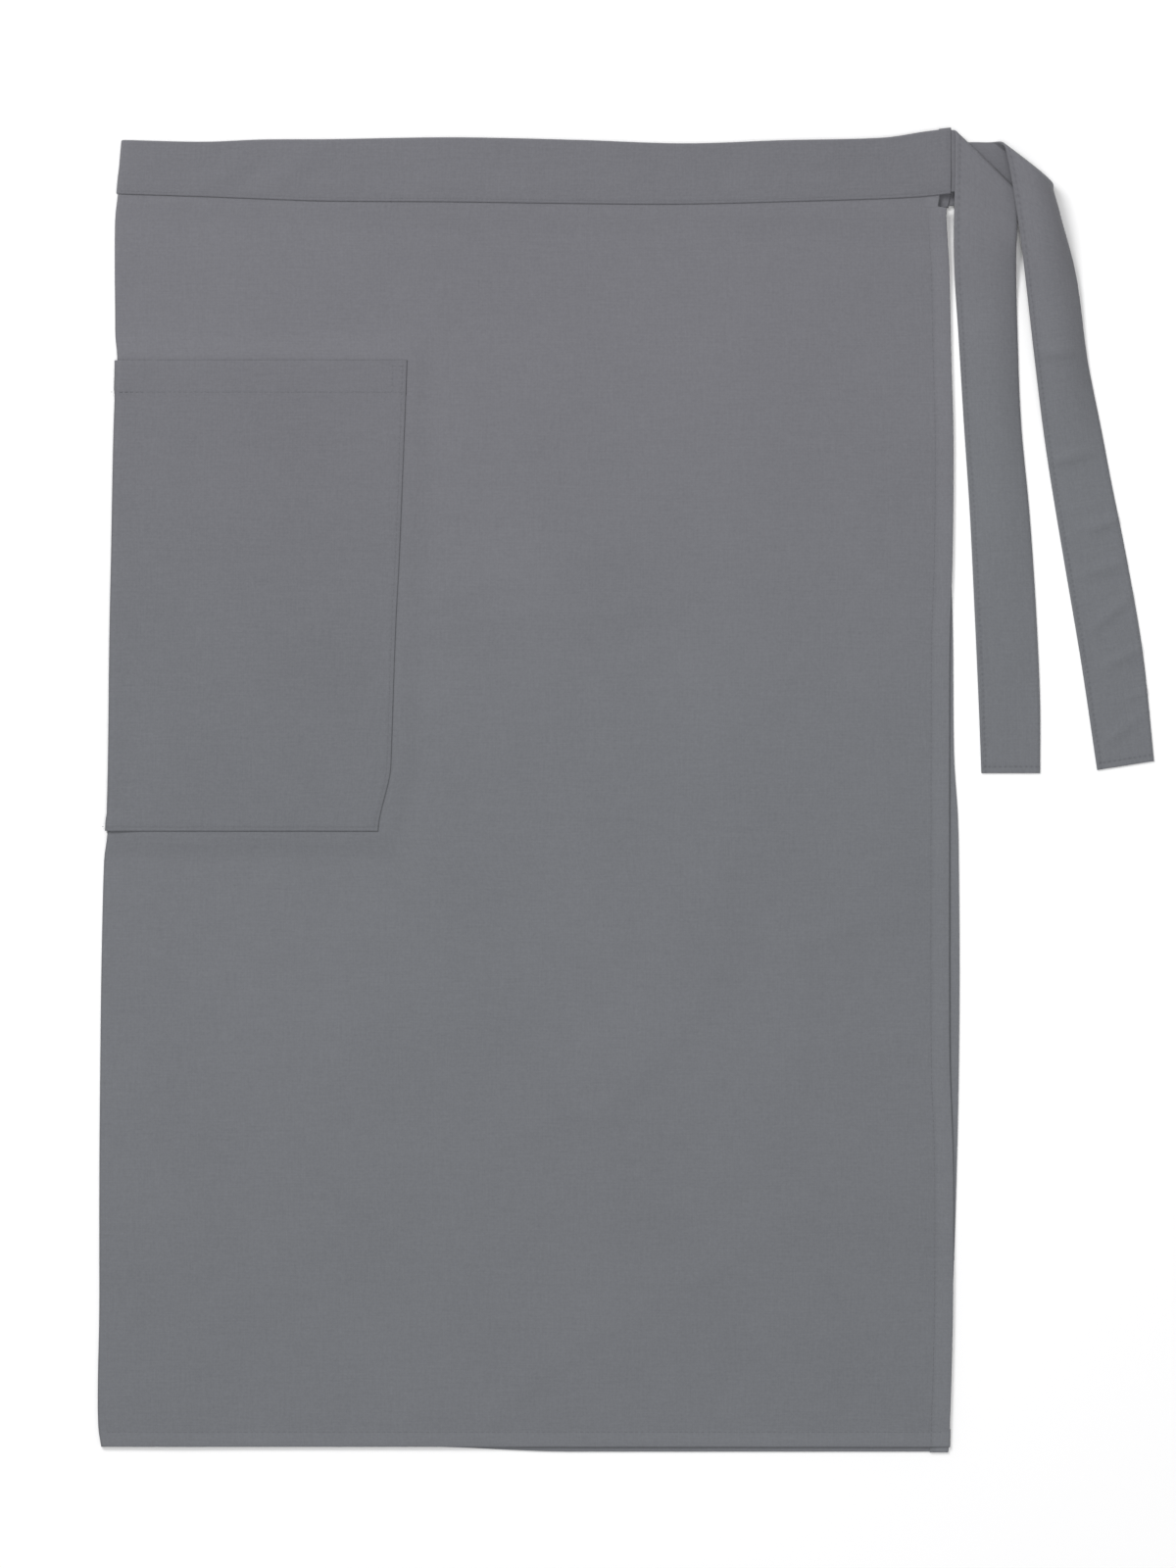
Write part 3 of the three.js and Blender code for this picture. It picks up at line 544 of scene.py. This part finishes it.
def sewn(name, spots, batch=150):
    # One small rounded stitch at each spot, which is a place, the seam's direction and the cloth's normal.
    # They are made in batches, because adding to a large mesh is slow.
    bm = bmesh.new()
    for start in range(0, len(spots), batch):
        part = bmesh.new()
        for place, along, normal in spots[start:start + batch]:
            side = normal.cross(along).normalized()
            turn = Matrix((along.normalized(), side, normal.normalized())).transposed().to_4x4()
            size = Matrix.Diagonal((stitch["length"] * mm, stitch["width"] * mm, stitch["height"] * mm, 1))
            bmesh.ops.create_uvsphere(part, u_segments=6, v_segments=4, radius=0.5,
                                      matrix=Matrix.Translation(placed(place)) @ turn @ size)
        chunk = bpy.data.meshes.new("chunk")
        part.to_mesh(chunk)
        part.free()
        bm.from_mesh(chunk)
        bpy.data.meshes.remove(chunk)
    return finished(name, bm, thread)


def seamSpots(point, low, high, off):
    # Stitches along a line: point(t) gives the place on the cloth, as its distance from the fold and height.
    spots = []
    for t in evenly(low + stitch["pitch"] / 2, high - stitch["pitch"] / 2, stitch["pitch"]):
        place = offCloth(*point(t), off)
        ahead = offCloth(*point(t + stitch["probe"]), off) - offCloth(*point(t - stitch["probe"]), off)
        spots.append((place, ahead, clothNormal(*point(t))))
    return spots


# The skirt is one cloth folded in half, its side edges and foot turned under.
skirt = {
    "frontSpacing": 3.6, "backSpacing": 8.0, "rowSpacing": 3.6, "topEdge": 680,
    "sideStitch": 440.2, "sideStitchFrom": 2, "sideStitchTo": 650, "grooveTo": 660,
    "footStitch": 8.0, "footStitchEnd": 4, "seamDepthAndShade": 0.35,
    "hemBeyond": 6,                                         # how far the hems' painted light strip runs past the edge
    "stepWidth": 4.7, "stepHeight": 7.2, "stepRun": 25,     # the little step in the front hem
    "footShows": 2.6, "footFrom": 170, "footEase": 80, "footRun": 30,   # the back leaf's foot in view
}


def skirtSurface(away, y):
    point = clothPoint(away, y)
    if away > 0:            # the little step in the front hem, just under the band's end
        stepFoot = seamAt(apron["leafWidth"]) - skirt["stepHeight"]
        inStep = smoothstep((away - apron["leafWidth"]) / skirt["stepRun"] + 1)
        point.x -= skirt["stepWidth"] * inStep * smoothstep((y - stepFoot) / 0.5)
    else:                   # the back leaf's foot shows a little below the front one
        foot = smoothstep(1 - y / skirt["footRun"])
        point.y -= skirt["footShows"] * foot * smoothstep((-away - skirt["footFrom"]) / skirt["footEase"])
    return point


def buildSkirt():
    wide, r = apron["leafWidth"], apron["turnRadius"]
    stepFoot = seamAt(wide) - skirt["stepHeight"]
    columns = inOrder(
        turnStations(-wide, -1, r, apron["sideHem"]) + turnStations(wide, 1, r, apron["sideHem"])
        + bothLeaves(wide - r, skirt["backSpacing"], skirt["frontSpacing"]))
    rows = inOrder(             # with two rows close together at the foot of the step in the front hem
        turnStations(0, -1, r, apron["bottomHem"]) + evenly(r, stepFoot - 0.2, skirt["rowSpacing"])
        + [stepFoot + 0.6] + evenly(stepFoot + 4, skirt["topEdge"], skirt["rowSpacing"]))
    bm = drape(columns, rows, (-wide, wide), (0, None), r, lambda u, v: apron["layer"] / 2, skirtSurface)
    seams = [("u", side * skirt["sideStitch"], 0, skirt["grooveTo"], skirt["seamDepthAndShade"]) for side in (1, -1)]
    seams.append(("v", skirt["footStitch"], -wide, wide, skirt["seamDepthAndShade"]))
    edge, breadth = wide + skirt["hemBeyond"], apron["sideHem"] + skirt["hemBeyond"]
    hems = [("u", edge, -breadth), ("u", -edge, breadth), ("v", 0, apron["bottomHem"])]
    look = clothMaterial("skirt_cloth_look", seams, hems=hems)
    piece = finished("skirtCloth", bm, look, apron["clothThickness"])
    off = apron["layer"] / 2 + stitch["lift"]
    foot, end = skirt["footStitch"], skirt["footStitchEnd"]
    spots = []
    for side in (1, -1):
        spots += seamSpots(lambda t: (side * skirt["sideStitch"], t),
                           skirt["sideStitchFrom"], skirt["sideStitchTo"], off)
        spots += seamSpots(lambda t: (side * t, foot), end, wide - end, off)
    return piece, sewn("skirtStitches", spots)


# The pocket is a patch on the outside of the cloth that wraps round the fold.
def pocketOuter(away, y):
    # The pocket's outer face above the middle of the skirt's cloth.
    reach = abs(away)
    doubled = pocketThickness(reach, y) - apron["layer"]
    gape = 0
    if away > 0:
        ajar = math.sin(math.pi * min(reach / pocket["reach"], 1))
        gape = pocket["mouthGape"] * ajar * smoothstep((y - pocketTop) / (3 * pocket["mouthHem"]) + 1)
    front = smoothstep((away - pocket["frontFrom"]) / pocket["frontRun"])
    onFront = pocket["frontOuter"] + pocket["frontDoubled"] * doubled
    return mix(pocket["backOuter"] + doubled, onFront, front) + gape * pocket["gapeShare"]


def buildPocket():
    reach, r = pocket["reach"], pocket["turnRadius"]
    columns = inOrder(
        turnStations(-reach, -1, r, pocket["turnUnder"]) + turnStations(reach, 1, r, pocket["turnUnder"])
        + bothLeaves(reach - r, pocket["backSpacing"], pocket["frontSpacing"]))
    rows = inOrder(
        turnStations(pocketBottom, -1, r, pocket["turnUnder"])
        + turnStations(pocketTop, 1, r, pocket["mouthHem"])
        + evenly(pocketBottom + r, pocketTop - r, pocket["frontSpacing"]))
    bm = drape(columns, rows, (-reach, reach), (pocketBottom, pocketTop), r, pocketOuter)
    inset, hem, end = pocket["edgeStitch"], pocketTop - pocket["mouthStitch"], pocket["stitchEnd"]
    seams = [("u", side * (reach - inset), pocketBottom, pocketTop, 0.5) for side in (1, -1)]
    seams += [("v", pocketBottom + inset, -reach, reach, 0.5), ("v", hem, -reach, reach, 0.3)]
    # the pocket is painted darker than the skirt: painted shade that evens out the extra light it catches
    look = clothMaterial("pocket_cloth_look", seams, paintedLightShift=-0.2)
    piece = finished("pocketCloth", bm, look, pocket["clothThickness"])

    def spotsOn(point, low, high):
        spots = []
        for t in evenly(low, high, stitch["pitch"]):
            u, v = point(t)
            place = offCloth(u, v, pocketOuter(u, v) + stitch["lift"])
            u2, v2 = point(t + stitch["probe"])
            ahead = offCloth(u2, v2, pocketOuter(u2, v2) + stitch["lift"]) - place
            spots.append((place, ahead, clothNormal(u, v)))
        return spots

    spots = []
    for side in (1, -1):
        spots += spotsOn(lambda t: (side * (reach - inset), t), pocketBottom + end + 1, pocketTop - end)
        spots += spotsOn(lambda t: (side * (reach - pocket["cornerStitch"]), t),
                         pocketTop - pocket["cornerDrop"], pocketTop - end)
        spots += spotsOn(lambda t: (side * t, pocketTop - end), reach - pocket["turnUnder"], reach - end)
    spots += spotsOn(lambda t: (t, pocketBottom + inset), end - reach, reach - end)
    spots += spotsOn(lambda t: (t, hem), end - reach, reach - end)
    return piece, sewn("pocketStitches", spots)


# The waistband is a strip folded over the skirt's top edge.
band = {
    "clothThickness": 0.45, "turnUnder": 8, "turnRadius": 0.6,
    "pressed": 0.35, "topHalf": 1.15, "thinFrom": 9, "thinRun": 8,      # its half thickness, foot and top
    "beyond": 1.0, "endTurn": 6, "endCloth": 0.15,                      # how its ends are turned in
    "frontSpacing": 4, "backSpacing": 8, "wallStart": 1.4, "wallSpacing": 3,
    "stitchRise": 1.7, "stitchEnd": 3, "seamDrop": 0.4, "seamDepthAndShade": 0.6,
}


def bandHalfAt(rise):
    thinner = smoothstep((rise - band["thinFrom"]) / band["thinRun"])
    return mix(bandHalf - band["pressed"], band["topHalf"], thinner)


def bandProfile():
    # The strip's section, from the turned-under front edge over the top to the back one, as the height
    # above the seam and the distance outward from the middle, for the band's straight height.
    r, top = band["turnRadius"], band["topHalf"]
    tall = apron["bandHeight"]
    half = bandHalfAt(0)
    edge = [(band["turnUnder"], half - 2 * r)]
    edge += [(r - r * math.sin(math.pi * k / 5), half - r - r * math.cos(math.pi * k / 5)) for k in range(6)]
    wall = [(y, bandHalfAt(y)) for y in evenly(r + band["wallStart"], tall - top - 1, band["wallSpacing"])]
    front = edge + wall
    over = [(tall - top + top * math.cos(a), top * math.sin(a))
            for a in [math.pi / 2 - math.pi * k / 8 for k in range(9)]]
    return front + over + [(y, -out) for y, out in reversed(front)]


def puckerRelief(away, rise):
    total = 0
    for across, lean, breadth, height in puckerRows:
        centre = across * apron["leafWidth"] + lean * apron["bandHeight"] * (rise - 0.5)
        aside = (away - centre) / (breadth * apron["bandHeight"])
        total += height * apron["reliefHeight"] * math.exp(-aside * aside)
    return total * math.sin(math.pi * clamp(rise, 0, 1))


def buildBand():
    wide, r, tall = apron["leafWidth"] + band["beyond"], band["turnRadius"], apron["bandHeight"]
    columns = inOrder(
        turnStations(-wide, -1, r, band["endTurn"]) + turnStations(wide, 1, r, band["endTurn"])
        + bothLeaves(wide - r, band["backSpacing"], band["frontSpacing"]))
    profile = bandProfile()
    rows = [0]
    for a, b in zip(profile, profile[1:]):
        rows.append(rows[-1] + math.dist(a, b))
    turns = [turned(c, -wide, wide, r) for c in columns]

    def place(i, j):
        away, depth = turns[i]
        rise, out = profile[j]
        seam = seamAt(away)
        height = topAt(away) - seam
        y = seam + rise * height / tall
        outward = out - math.copysign(min(depth, max(0, abs(out) - band["endCloth"])), out)
        if out > 0.5 and away > 0 and depth == 0:
            outward += puckerRelief(away, rise / tall)
        return offCloth(away, y, outward)

    bm = sheetMesh(columns, rows, place)
    frontStitch = rows[6] + band["stitchRise"] - band["seamDrop"]
    seams = [("v", at, -wide, wide, band["seamDepthAndShade"]) for at in (frontStitch, rows[-1] - frontStitch)]
    # the band is painted darker than the skirt: a painted shade on the same cloth
    look = clothMaterial("band_cloth_look", seams, paintedLightShift=-0.24, warm=("v", -2, -1))
    piece = finished("bandCloth", bm, look, band["clothThickness"])
    off = bandHalf - band["pressed"] + stitch["lift"]
    spots = []
    for side in (1, -1):
        for t in evenly(band["stitchEnd"], wide - band["stitchEnd"], stitch["pitch"]):
            away = side * t
            y = seamAt(away) + band["stitchRise"]
            place = offCloth(away, y, off)
            ahead = offCloth(away + 1, seamAt(away + 1) + band["stitchRise"], off) - place
            spots.append((place, ahead, clothNormal(away, y)))
    return piece, sewn("bandStitches", spots), rows[-1]


# Each tie leaves its end of the band and is laid over itself on a slanting fold.
tieCut = {
    "width": 31.5, "room": 1.8, "thickness": 1.2, "spacing": 1.75,
    "edgeStitch": 0.95,                     # as a share of the half width
    "endStitch": 3.2, "endShare": 0.88, "stitchStart": 4, "stitchEnd": 3,
    "shareProbe": 0.04,
}
# A row of a course: a share of the length, and there the width, the drift to the right, the tilt and the
# arch in degrees. A crumple: a share of the length, its shift aside, reach and height in shares, its lean.
frontTie = {
    "length": 347.8, "incoming": 2, "outgoing": -90, "run": 0.586, "roll": 0.72, "hold": 0.115, "land": 0.3,
    "course": [
        (0.00, 1.05, 0.00, 0, 0), (0.10, 1.06, 0.00, 0, 0), (0.20, 1.07, -0.02, 0, 14),
        (0.32, 1.05, 0.035, 0, 28), (0.46, 1.02, 0.113, 0, 30), (0.60, 1.035, 0.236, 0, 20),
        (0.75, 1.048, 0.332, 0, 8), (0.89, 1.043, 0.40, 0, 0), (1.00, 1.00, 0.424, 0, 0)],
    "crumples": [(0.45, 0.1, 0.25, 0.14, 0.1), (0.70, -0.2, 0.30, 0.12, -0.1)],
}
backTie = {
    "length": 368.2, "incoming": 6, "outgoing": -81, "run": 1.32, "roll": 1.11, "hold": 0.12, "land": 0.45,
    "course": [
        (0.00, 1.05, 0.00, 0, 0), (0.04, 1.05, 0.00, 0, 6), (0.10, 1.04, 0.04, 22, 62),
        (0.15, 1.03, 0.10, 24, 66), (0.22, 1.02, 0.11, 19, 58), (0.30, 1.02, 0.08, 12, 48),
        (0.42, 1.02, 0.02, 7, 46), (0.56, 1.01, 0.01, 1, 12), (0.70, 1.055, 0.048, 0, 0),
        (0.84, 1.06, 0.067, 0, 0), (1.00, 0.98, 0.008, 0, 0)],
    "crumples": [(0.392, -0.08, 0.11, 0.75, 0.15), (0.543, -0.15, 0.11, 0.65, -0.10),
                 (0.619, -0.20, 0.05, 0.20, -0.05), (0.650, 0.24, 0.10, 0.62, -0.15),
                 (0.712, 0.10, 0.11, 0.68, -0.10), (0.782, 0.10, 0.10, 0.68, -0.60),
                 (0.848, 0.20, 0.09, 0.58, -0.30), (0.906, 0.35, 0.06, 0.30, -0.20),
                 (0.948, 0.00, 0.10, 0.50, -0.50)],
}


def sectionPoint(tilt, arch, across, halfWidth):
    bend = max(arch, 1e-4) / halfWidth
    side = (math.sin(tilt) - math.sin(tilt - bend * across)) / bend

    def rise(s):
        return (math.cos(tilt - bend * s) - math.cos(tilt)) / bend

    return side - across, rise(across) - min(rise(halfWidth), rise(-halfWidth), 0)


def rollOf(tie):
    radius = tie["roll"] * tieCut["room"]
    crossing = math.sin(math.radians((tie["incoming"] - tie["outgoing"]) / 2))
    start = tie["run"] * tieCut["width"] - radius / crossing
    return radius, start, start + math.pi * radius / crossing


def crumpleRelief(tie, along, across):
    total = 0
    for at, side, reach, height, lean in tie["crumples"]:
        off = (along - at * tie["length"] + lean * across) / (reach * tieCut["width"])
        aside = across / tieCut["width"] + side
        total += height * apron["reliefHeight"] * math.exp(-off * off - 9 * aside * aside)
    return total


def tiePoint(tie, along, share, inset, outward):
    # share runs from -1 at the strip's lower edge to 1 at its upper one; inset is the edge's rounding.
    radius, rollStart, rollEnd = rollOf(tie)
    width = tieCut["width"]
    inward = math.radians(tie["incoming"])
    foldAngle = math.radians((tie["incoming"] + tie["outgoing"]) / 2)
    strip = Vector((math.cos(inward), math.sin(inward)))
    aside = Vector((-strip.y, strip.x))
    crease = Vector((math.cos(foldAngle), math.sin(foldAngle)))
    beyond = Vector((-crease.y, crease.x))
    slant = 1 / math.tan(inward - foldAngle)
    if along < rollStart:
        columnSlant = mix(-math.tan(inward), slant, along / rollStart)
    else:
        columnSlant = slant * (1 - smoothstep((along - rollEnd) / (2 * width)))
    part = along / tie["length"]        # where on the strip the place lies, and its section there
    stripWidth = width * through(tie["course"], 1, part)
    across = share * (stripWidth / 2 - tieCut["thickness"] / 2) + inset
    tilt = math.radians(through(tie["course"], 3, part))
    arch = math.radians(max(0, through(tie["course"], 4, part)))
    sideways, rise = sectionPoint(tilt, arch, across, stripWidth / 2)
    flat = strip * (along - columnSlant * across) + aside * (across + sideways)
    hinge = strip * rollStart
    distance = (flat - hinge).dot(beyond)
    slide = (flat - hinge).dot(crease)
    plan, height, over = distance, tie["level"], 0
    if distance > math.pi * radius:
        down = smoothstep((part - tie["hold"]) / (tie["land"] - tie["hold"]))
        plan = math.pi * radius - distance
        height = mix(tie["level"] + 2 * radius, tieCut["thickness"] / 2, down)
        over = math.pi
    elif distance > 0:
        over = distance / radius
        plan = radius * math.sin(over)
        height = tie["level"] + radius * (1 - math.cos(over))
    height += rise * (1 - math.cos(over)) / 2
    place = hinge + crease * slide + beyond * (plan - math.sin(over) * outward)
    drift = width * through(tie["course"], 2, part)
    return Vector((tie["originX"] + place.x + drift, tie["originY"] + place.y,
                   height + math.cos(over) * outward + crumpleRelief(tie, along, across)))


def placeTie(tie, side):
    away = side * apron["leafWidth"]
    ends = (seamAt(away), topAt(away))
    tie["originX"] = max(hemEdge(y, side > 0) for y in ends) + apron["sewnGap"]
    tie["originY"] = (ends[0] + ends[1]) / 2
    tie["level"] = leafLevel(away, tie["originY"])


def buildTie(name, tie, material):
    radius, rollStart, rollEnd = rollOf(tie)
    half, width = tieCut["thickness"] / 2, tieCut["width"]
    stations = inOrder(         # from inside the band's end, closer on the fold, to the rounded free end
        [-5, -3] + evenly(-1, rollStart, 2) + evenly(rollStart, rollEnd + 2 * radius, 0.5)
        + evenly(rollEnd + 2 * radius, tie["length"] - half, tieCut["spacing"])
        + [tie["length"] - half + half * math.sin(math.pi / 2 * k / 4) for k in range(1, 5)], 0.02)
    rounding = [(1, half * math.cos(math.radians(a)), half * math.sin(math.radians(a))) for a in (0, 30, 60)]
    halfFace = [(s, 0, half) for s in (1, 0.93, 0.86, 0.7, 0.5, 0.3, 0.1)]
    topHalf = rounding + halfFace
    top = topHalf + [(-s, -inset, out) for s, inset, out in reversed(topHalf)]
    ring = top + [(s, inset, -out) for s, inset, out in reversed(top[:-1])]
    section = [(s * width / 2 + inset, out) for s, inset, out in ring]
    girth = [0]
    for a, b in zip(section, section[1:]):
        girth.append(girth[-1] + math.dist(a, b))

    def place(i, j):
        share, inset, out = ring[j]
        along = stations[i]
        toEnd = clamp((tie["length"] - along) / half, 0, 1)
        closing = math.sqrt(max(0, 1 - (1 - toEnd) ** 2))
        return tiePoint(tie, along, share, inset, out * closing)

    bm = sheetMesh([tie["length"] - along for along in stations], girth, place)
    bmesh.ops.remove_doubles(bm, verts=bm.verts, dist=0.00001)
    bmesh.ops.dissolve_degenerate(bm, edges=bm.edges, dist=0.000005)
    bmesh.ops.recalc_face_normals(bm, faces=bm.faces)
    piece = finished(name + "Cloth", bm, material)
    spots = []
    edge, endShare = tieCut["edgeStitch"], tieCut["endShare"]
    first, last = rollEnd + tieCut["stitchStart"], tie["length"] - tieCut["stitchEnd"]
    for share in (edge, -edge):
        for along in evenly(first, last, stitch["pitch"]):
            for face in (1, -1):
                spots.append(tieSpot(tie, along, share, face))
    for share in evenly(-endShare, endShare, stitch["pitch"] / (width / 2)):
        spots.append(tieSpot(tie, tie["length"] - tieCut["endStitch"], share, 1, acrossStrip=True))
    return piece, sewn(name + "Stitches", spots)


def tieSpot(tie, along, share, face, acrossStrip=False):
    out = face * (tieCut["thickness"] / 2 + stitch["lift"])
    step, aside = stitch["probe"], tieCut["shareProbe"]
    place = tiePoint(tie, along, share, 0, out)
    run = tiePoint(tie, along + step, share, 0, out) - tiePoint(tie, along - step, share, 0, out)
    side = tiePoint(tie, along, share + aside, 0, out) - tiePoint(tie, along, share - aside, 0, out)
    return place, (side if acrossStrip else run), run.cross(side).normalized() * face


placeTie(frontTie, 1)
placeTie(backTie, -1)
tieWidth = tieCut["width"]
# A row of stitches along each edge of both faces, up most of the strip, and one round its end.
tieRun, tieRound = 330, 2 * tieWidth
tieSeams = [("v", at, 0, tieRun, 1) for at in (1.2, tieWidth - 1.0, tieWidth + 2.2, tieRound + 0.8)]
tieSeams.append(("u", 3.4, 0, tieRound + 2, 1.2))
# the ties' stitch lines get a stronger painted shade, broken more into dark dots
tieClothLook = {**clothLook, "grooveDepth": 0.12, "paintedSeamShade": 0.7273, "dotted": 0.8}
tieLook = clothMaterial("tie_cloth_look", tieSeams, look=tieClothLook, warm=("u", 150, 330))

pieces = {}
pieces["skirt"] = buildSkirt()
print("skirt draped and hemmed")
pieces["pocket"] = buildPocket()
print("pocket laid round the fold")
bandPiece, bandStitches, stripLength = buildBand()
pieces["waistband"] = (bandPiece, bandStitches)
print("waistband folded over the top edge")
pieces["front_tie"] = buildTie("frontTie", frontTie, tieLook)
pieces["back_tie"] = buildTie("backTie", backTie, tieLook)
print("ties laid down")

for node, (piece, stitches) in pieces.items():
    for part in (piece, stitches):
        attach(part, "root")
    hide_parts(node)

# A plain pale floor, just under the cloth. Its lengths are in metres.
ground = {"span": 3.0, "drop": 0.0001, "dark": (0.93, 0.93, 0.935, 1), "light": (0.95, 0.95, 0.95, 1),
          "grain": 3.0, "roughness": 0.9}


def floorMaterial():
    m = Look("pale_floor")
    spot = m.node("ShaderNodeTexCoord", {}, {}, output=3)
    grain = m.node("ShaderNodeTexNoise", {}, {"Vector": spot, "Scale": ground["grain"], "Detail": 2.0})
    color = m.node("ShaderNodeMix", {"data_type": "RGBA"},
                   {0: grain, 6: ground["dark"], 7: ground["light"]}, output=2)
    shader = m.node("ShaderNodeBsdfPrincipled", {}, {
        "Base Color": color, "Roughness": ground["roughness"], "Specular IOR Level": 0.1})
    return m.finish(shader)


floorMesh = bmesh.new()
bmesh.ops.create_grid(floorMesh, x_segments=1, y_segments=1, size=ground["span"])
bmesh.ops.translate(floorMesh, verts=floorMesh.verts, vec=(0, 0, -ground["drop"]))
floor = finished("studioFloor", floorMesh, floorMaterial())

# Each sheet's flat size in metres, with its turnings and hems.
laid = {
    "skirt": (0.918, 0.69), "pocket": (0.324, 0.277), "waistband": (0.912, stripLength * mm),
    "front_tie": (tieWidth * mm, round(frontTie["length"] * mm, 4)),
    "back_tie": (tieWidth * mm, round(backTie["length"] * mm, 4)),
}
for node, size in laid.items():
    piece, stitches = pieces[node]

# Soft studio light: a large lamp from the upper left, one from above and a weak one from the lower right.
studio = {
    "ambient": 0.38,
    "keyLight": {"power": 50, "place": (-1.2, 1.6, 2.1), "size": 1.2},
    "topLight": {"power": 66, "place": (0.3, -0.3, 4.5), "size": 1.4},
    "fillLight": {"power": 4, "place": (1.2, -1.8, 1.6), "size": 1.0},
}


def areaLight(name, power, place, size):
    lamp = bpy.data.lights.new(name, "AREA")
    lamp.energy, lamp.shape, lamp.size = power, "DISK", size
    holder = bpy.data.objects.new(name, lamp)
    holder.location = place
    holder.rotation_euler = (-Vector(place)).to_track_quat("-Z", "Y").to_euler()
    bpy.context.scene.collection.objects.link(holder)


for name in ("keyLight", "topLight", "fillLight"):
    areaLight(name, **studio[name])
world = bpy.data.worlds.new("studio")
world.use_nodes = True
background = world.node_tree.nodes["Background"]
background.inputs["Color"].default_value = (1, 1, 1, 1)
background.inputs["Strength"].default_value = studio["ambient"]
bpy.context.scene.world = world
bpy.context.scene.view_settings.view_transform = "Standard"

# The photograph is 1200 x 1600 pixels of 0.5247 mm. The frame's origin is at (638.1, 804) in it, and the
# camera's distance is counted from a little above the floor, where the cloth lies.
photo = {
    "scale": 0.5247, "width": 1200, "height": 1600, "middleX": 638.1, "middleY": 804,
    "clothHeight": 5, "lens": 200, "sensor": 36,
}
view = bpy.data.cameras.new("photoCamera")
view.lens, view.clip_end = photo["lens"], 30
view.sensor_fit, view.sensor_width, view.sensor_height = "VERTICAL", photo["sensor"], photo["sensor"]
distance = photo["lens"] / photo["sensor"] * photo["height"] * photo["scale"]
camera = bpy.data.objects.new("photoCamera", view)
camera.location = ((photo["width"] / 2 - photo["middleX"]) * photo["scale"] * mm,
                   (photo["middleY"] - photo["height"] / 2) * photo["scale"] * mm,
                   (distance + photo["clothHeight"]) * mm)
bpy.context.scene.collection.objects.link(camera)
bpy.context.scene.camera = camera
print("floor, light and camera set")
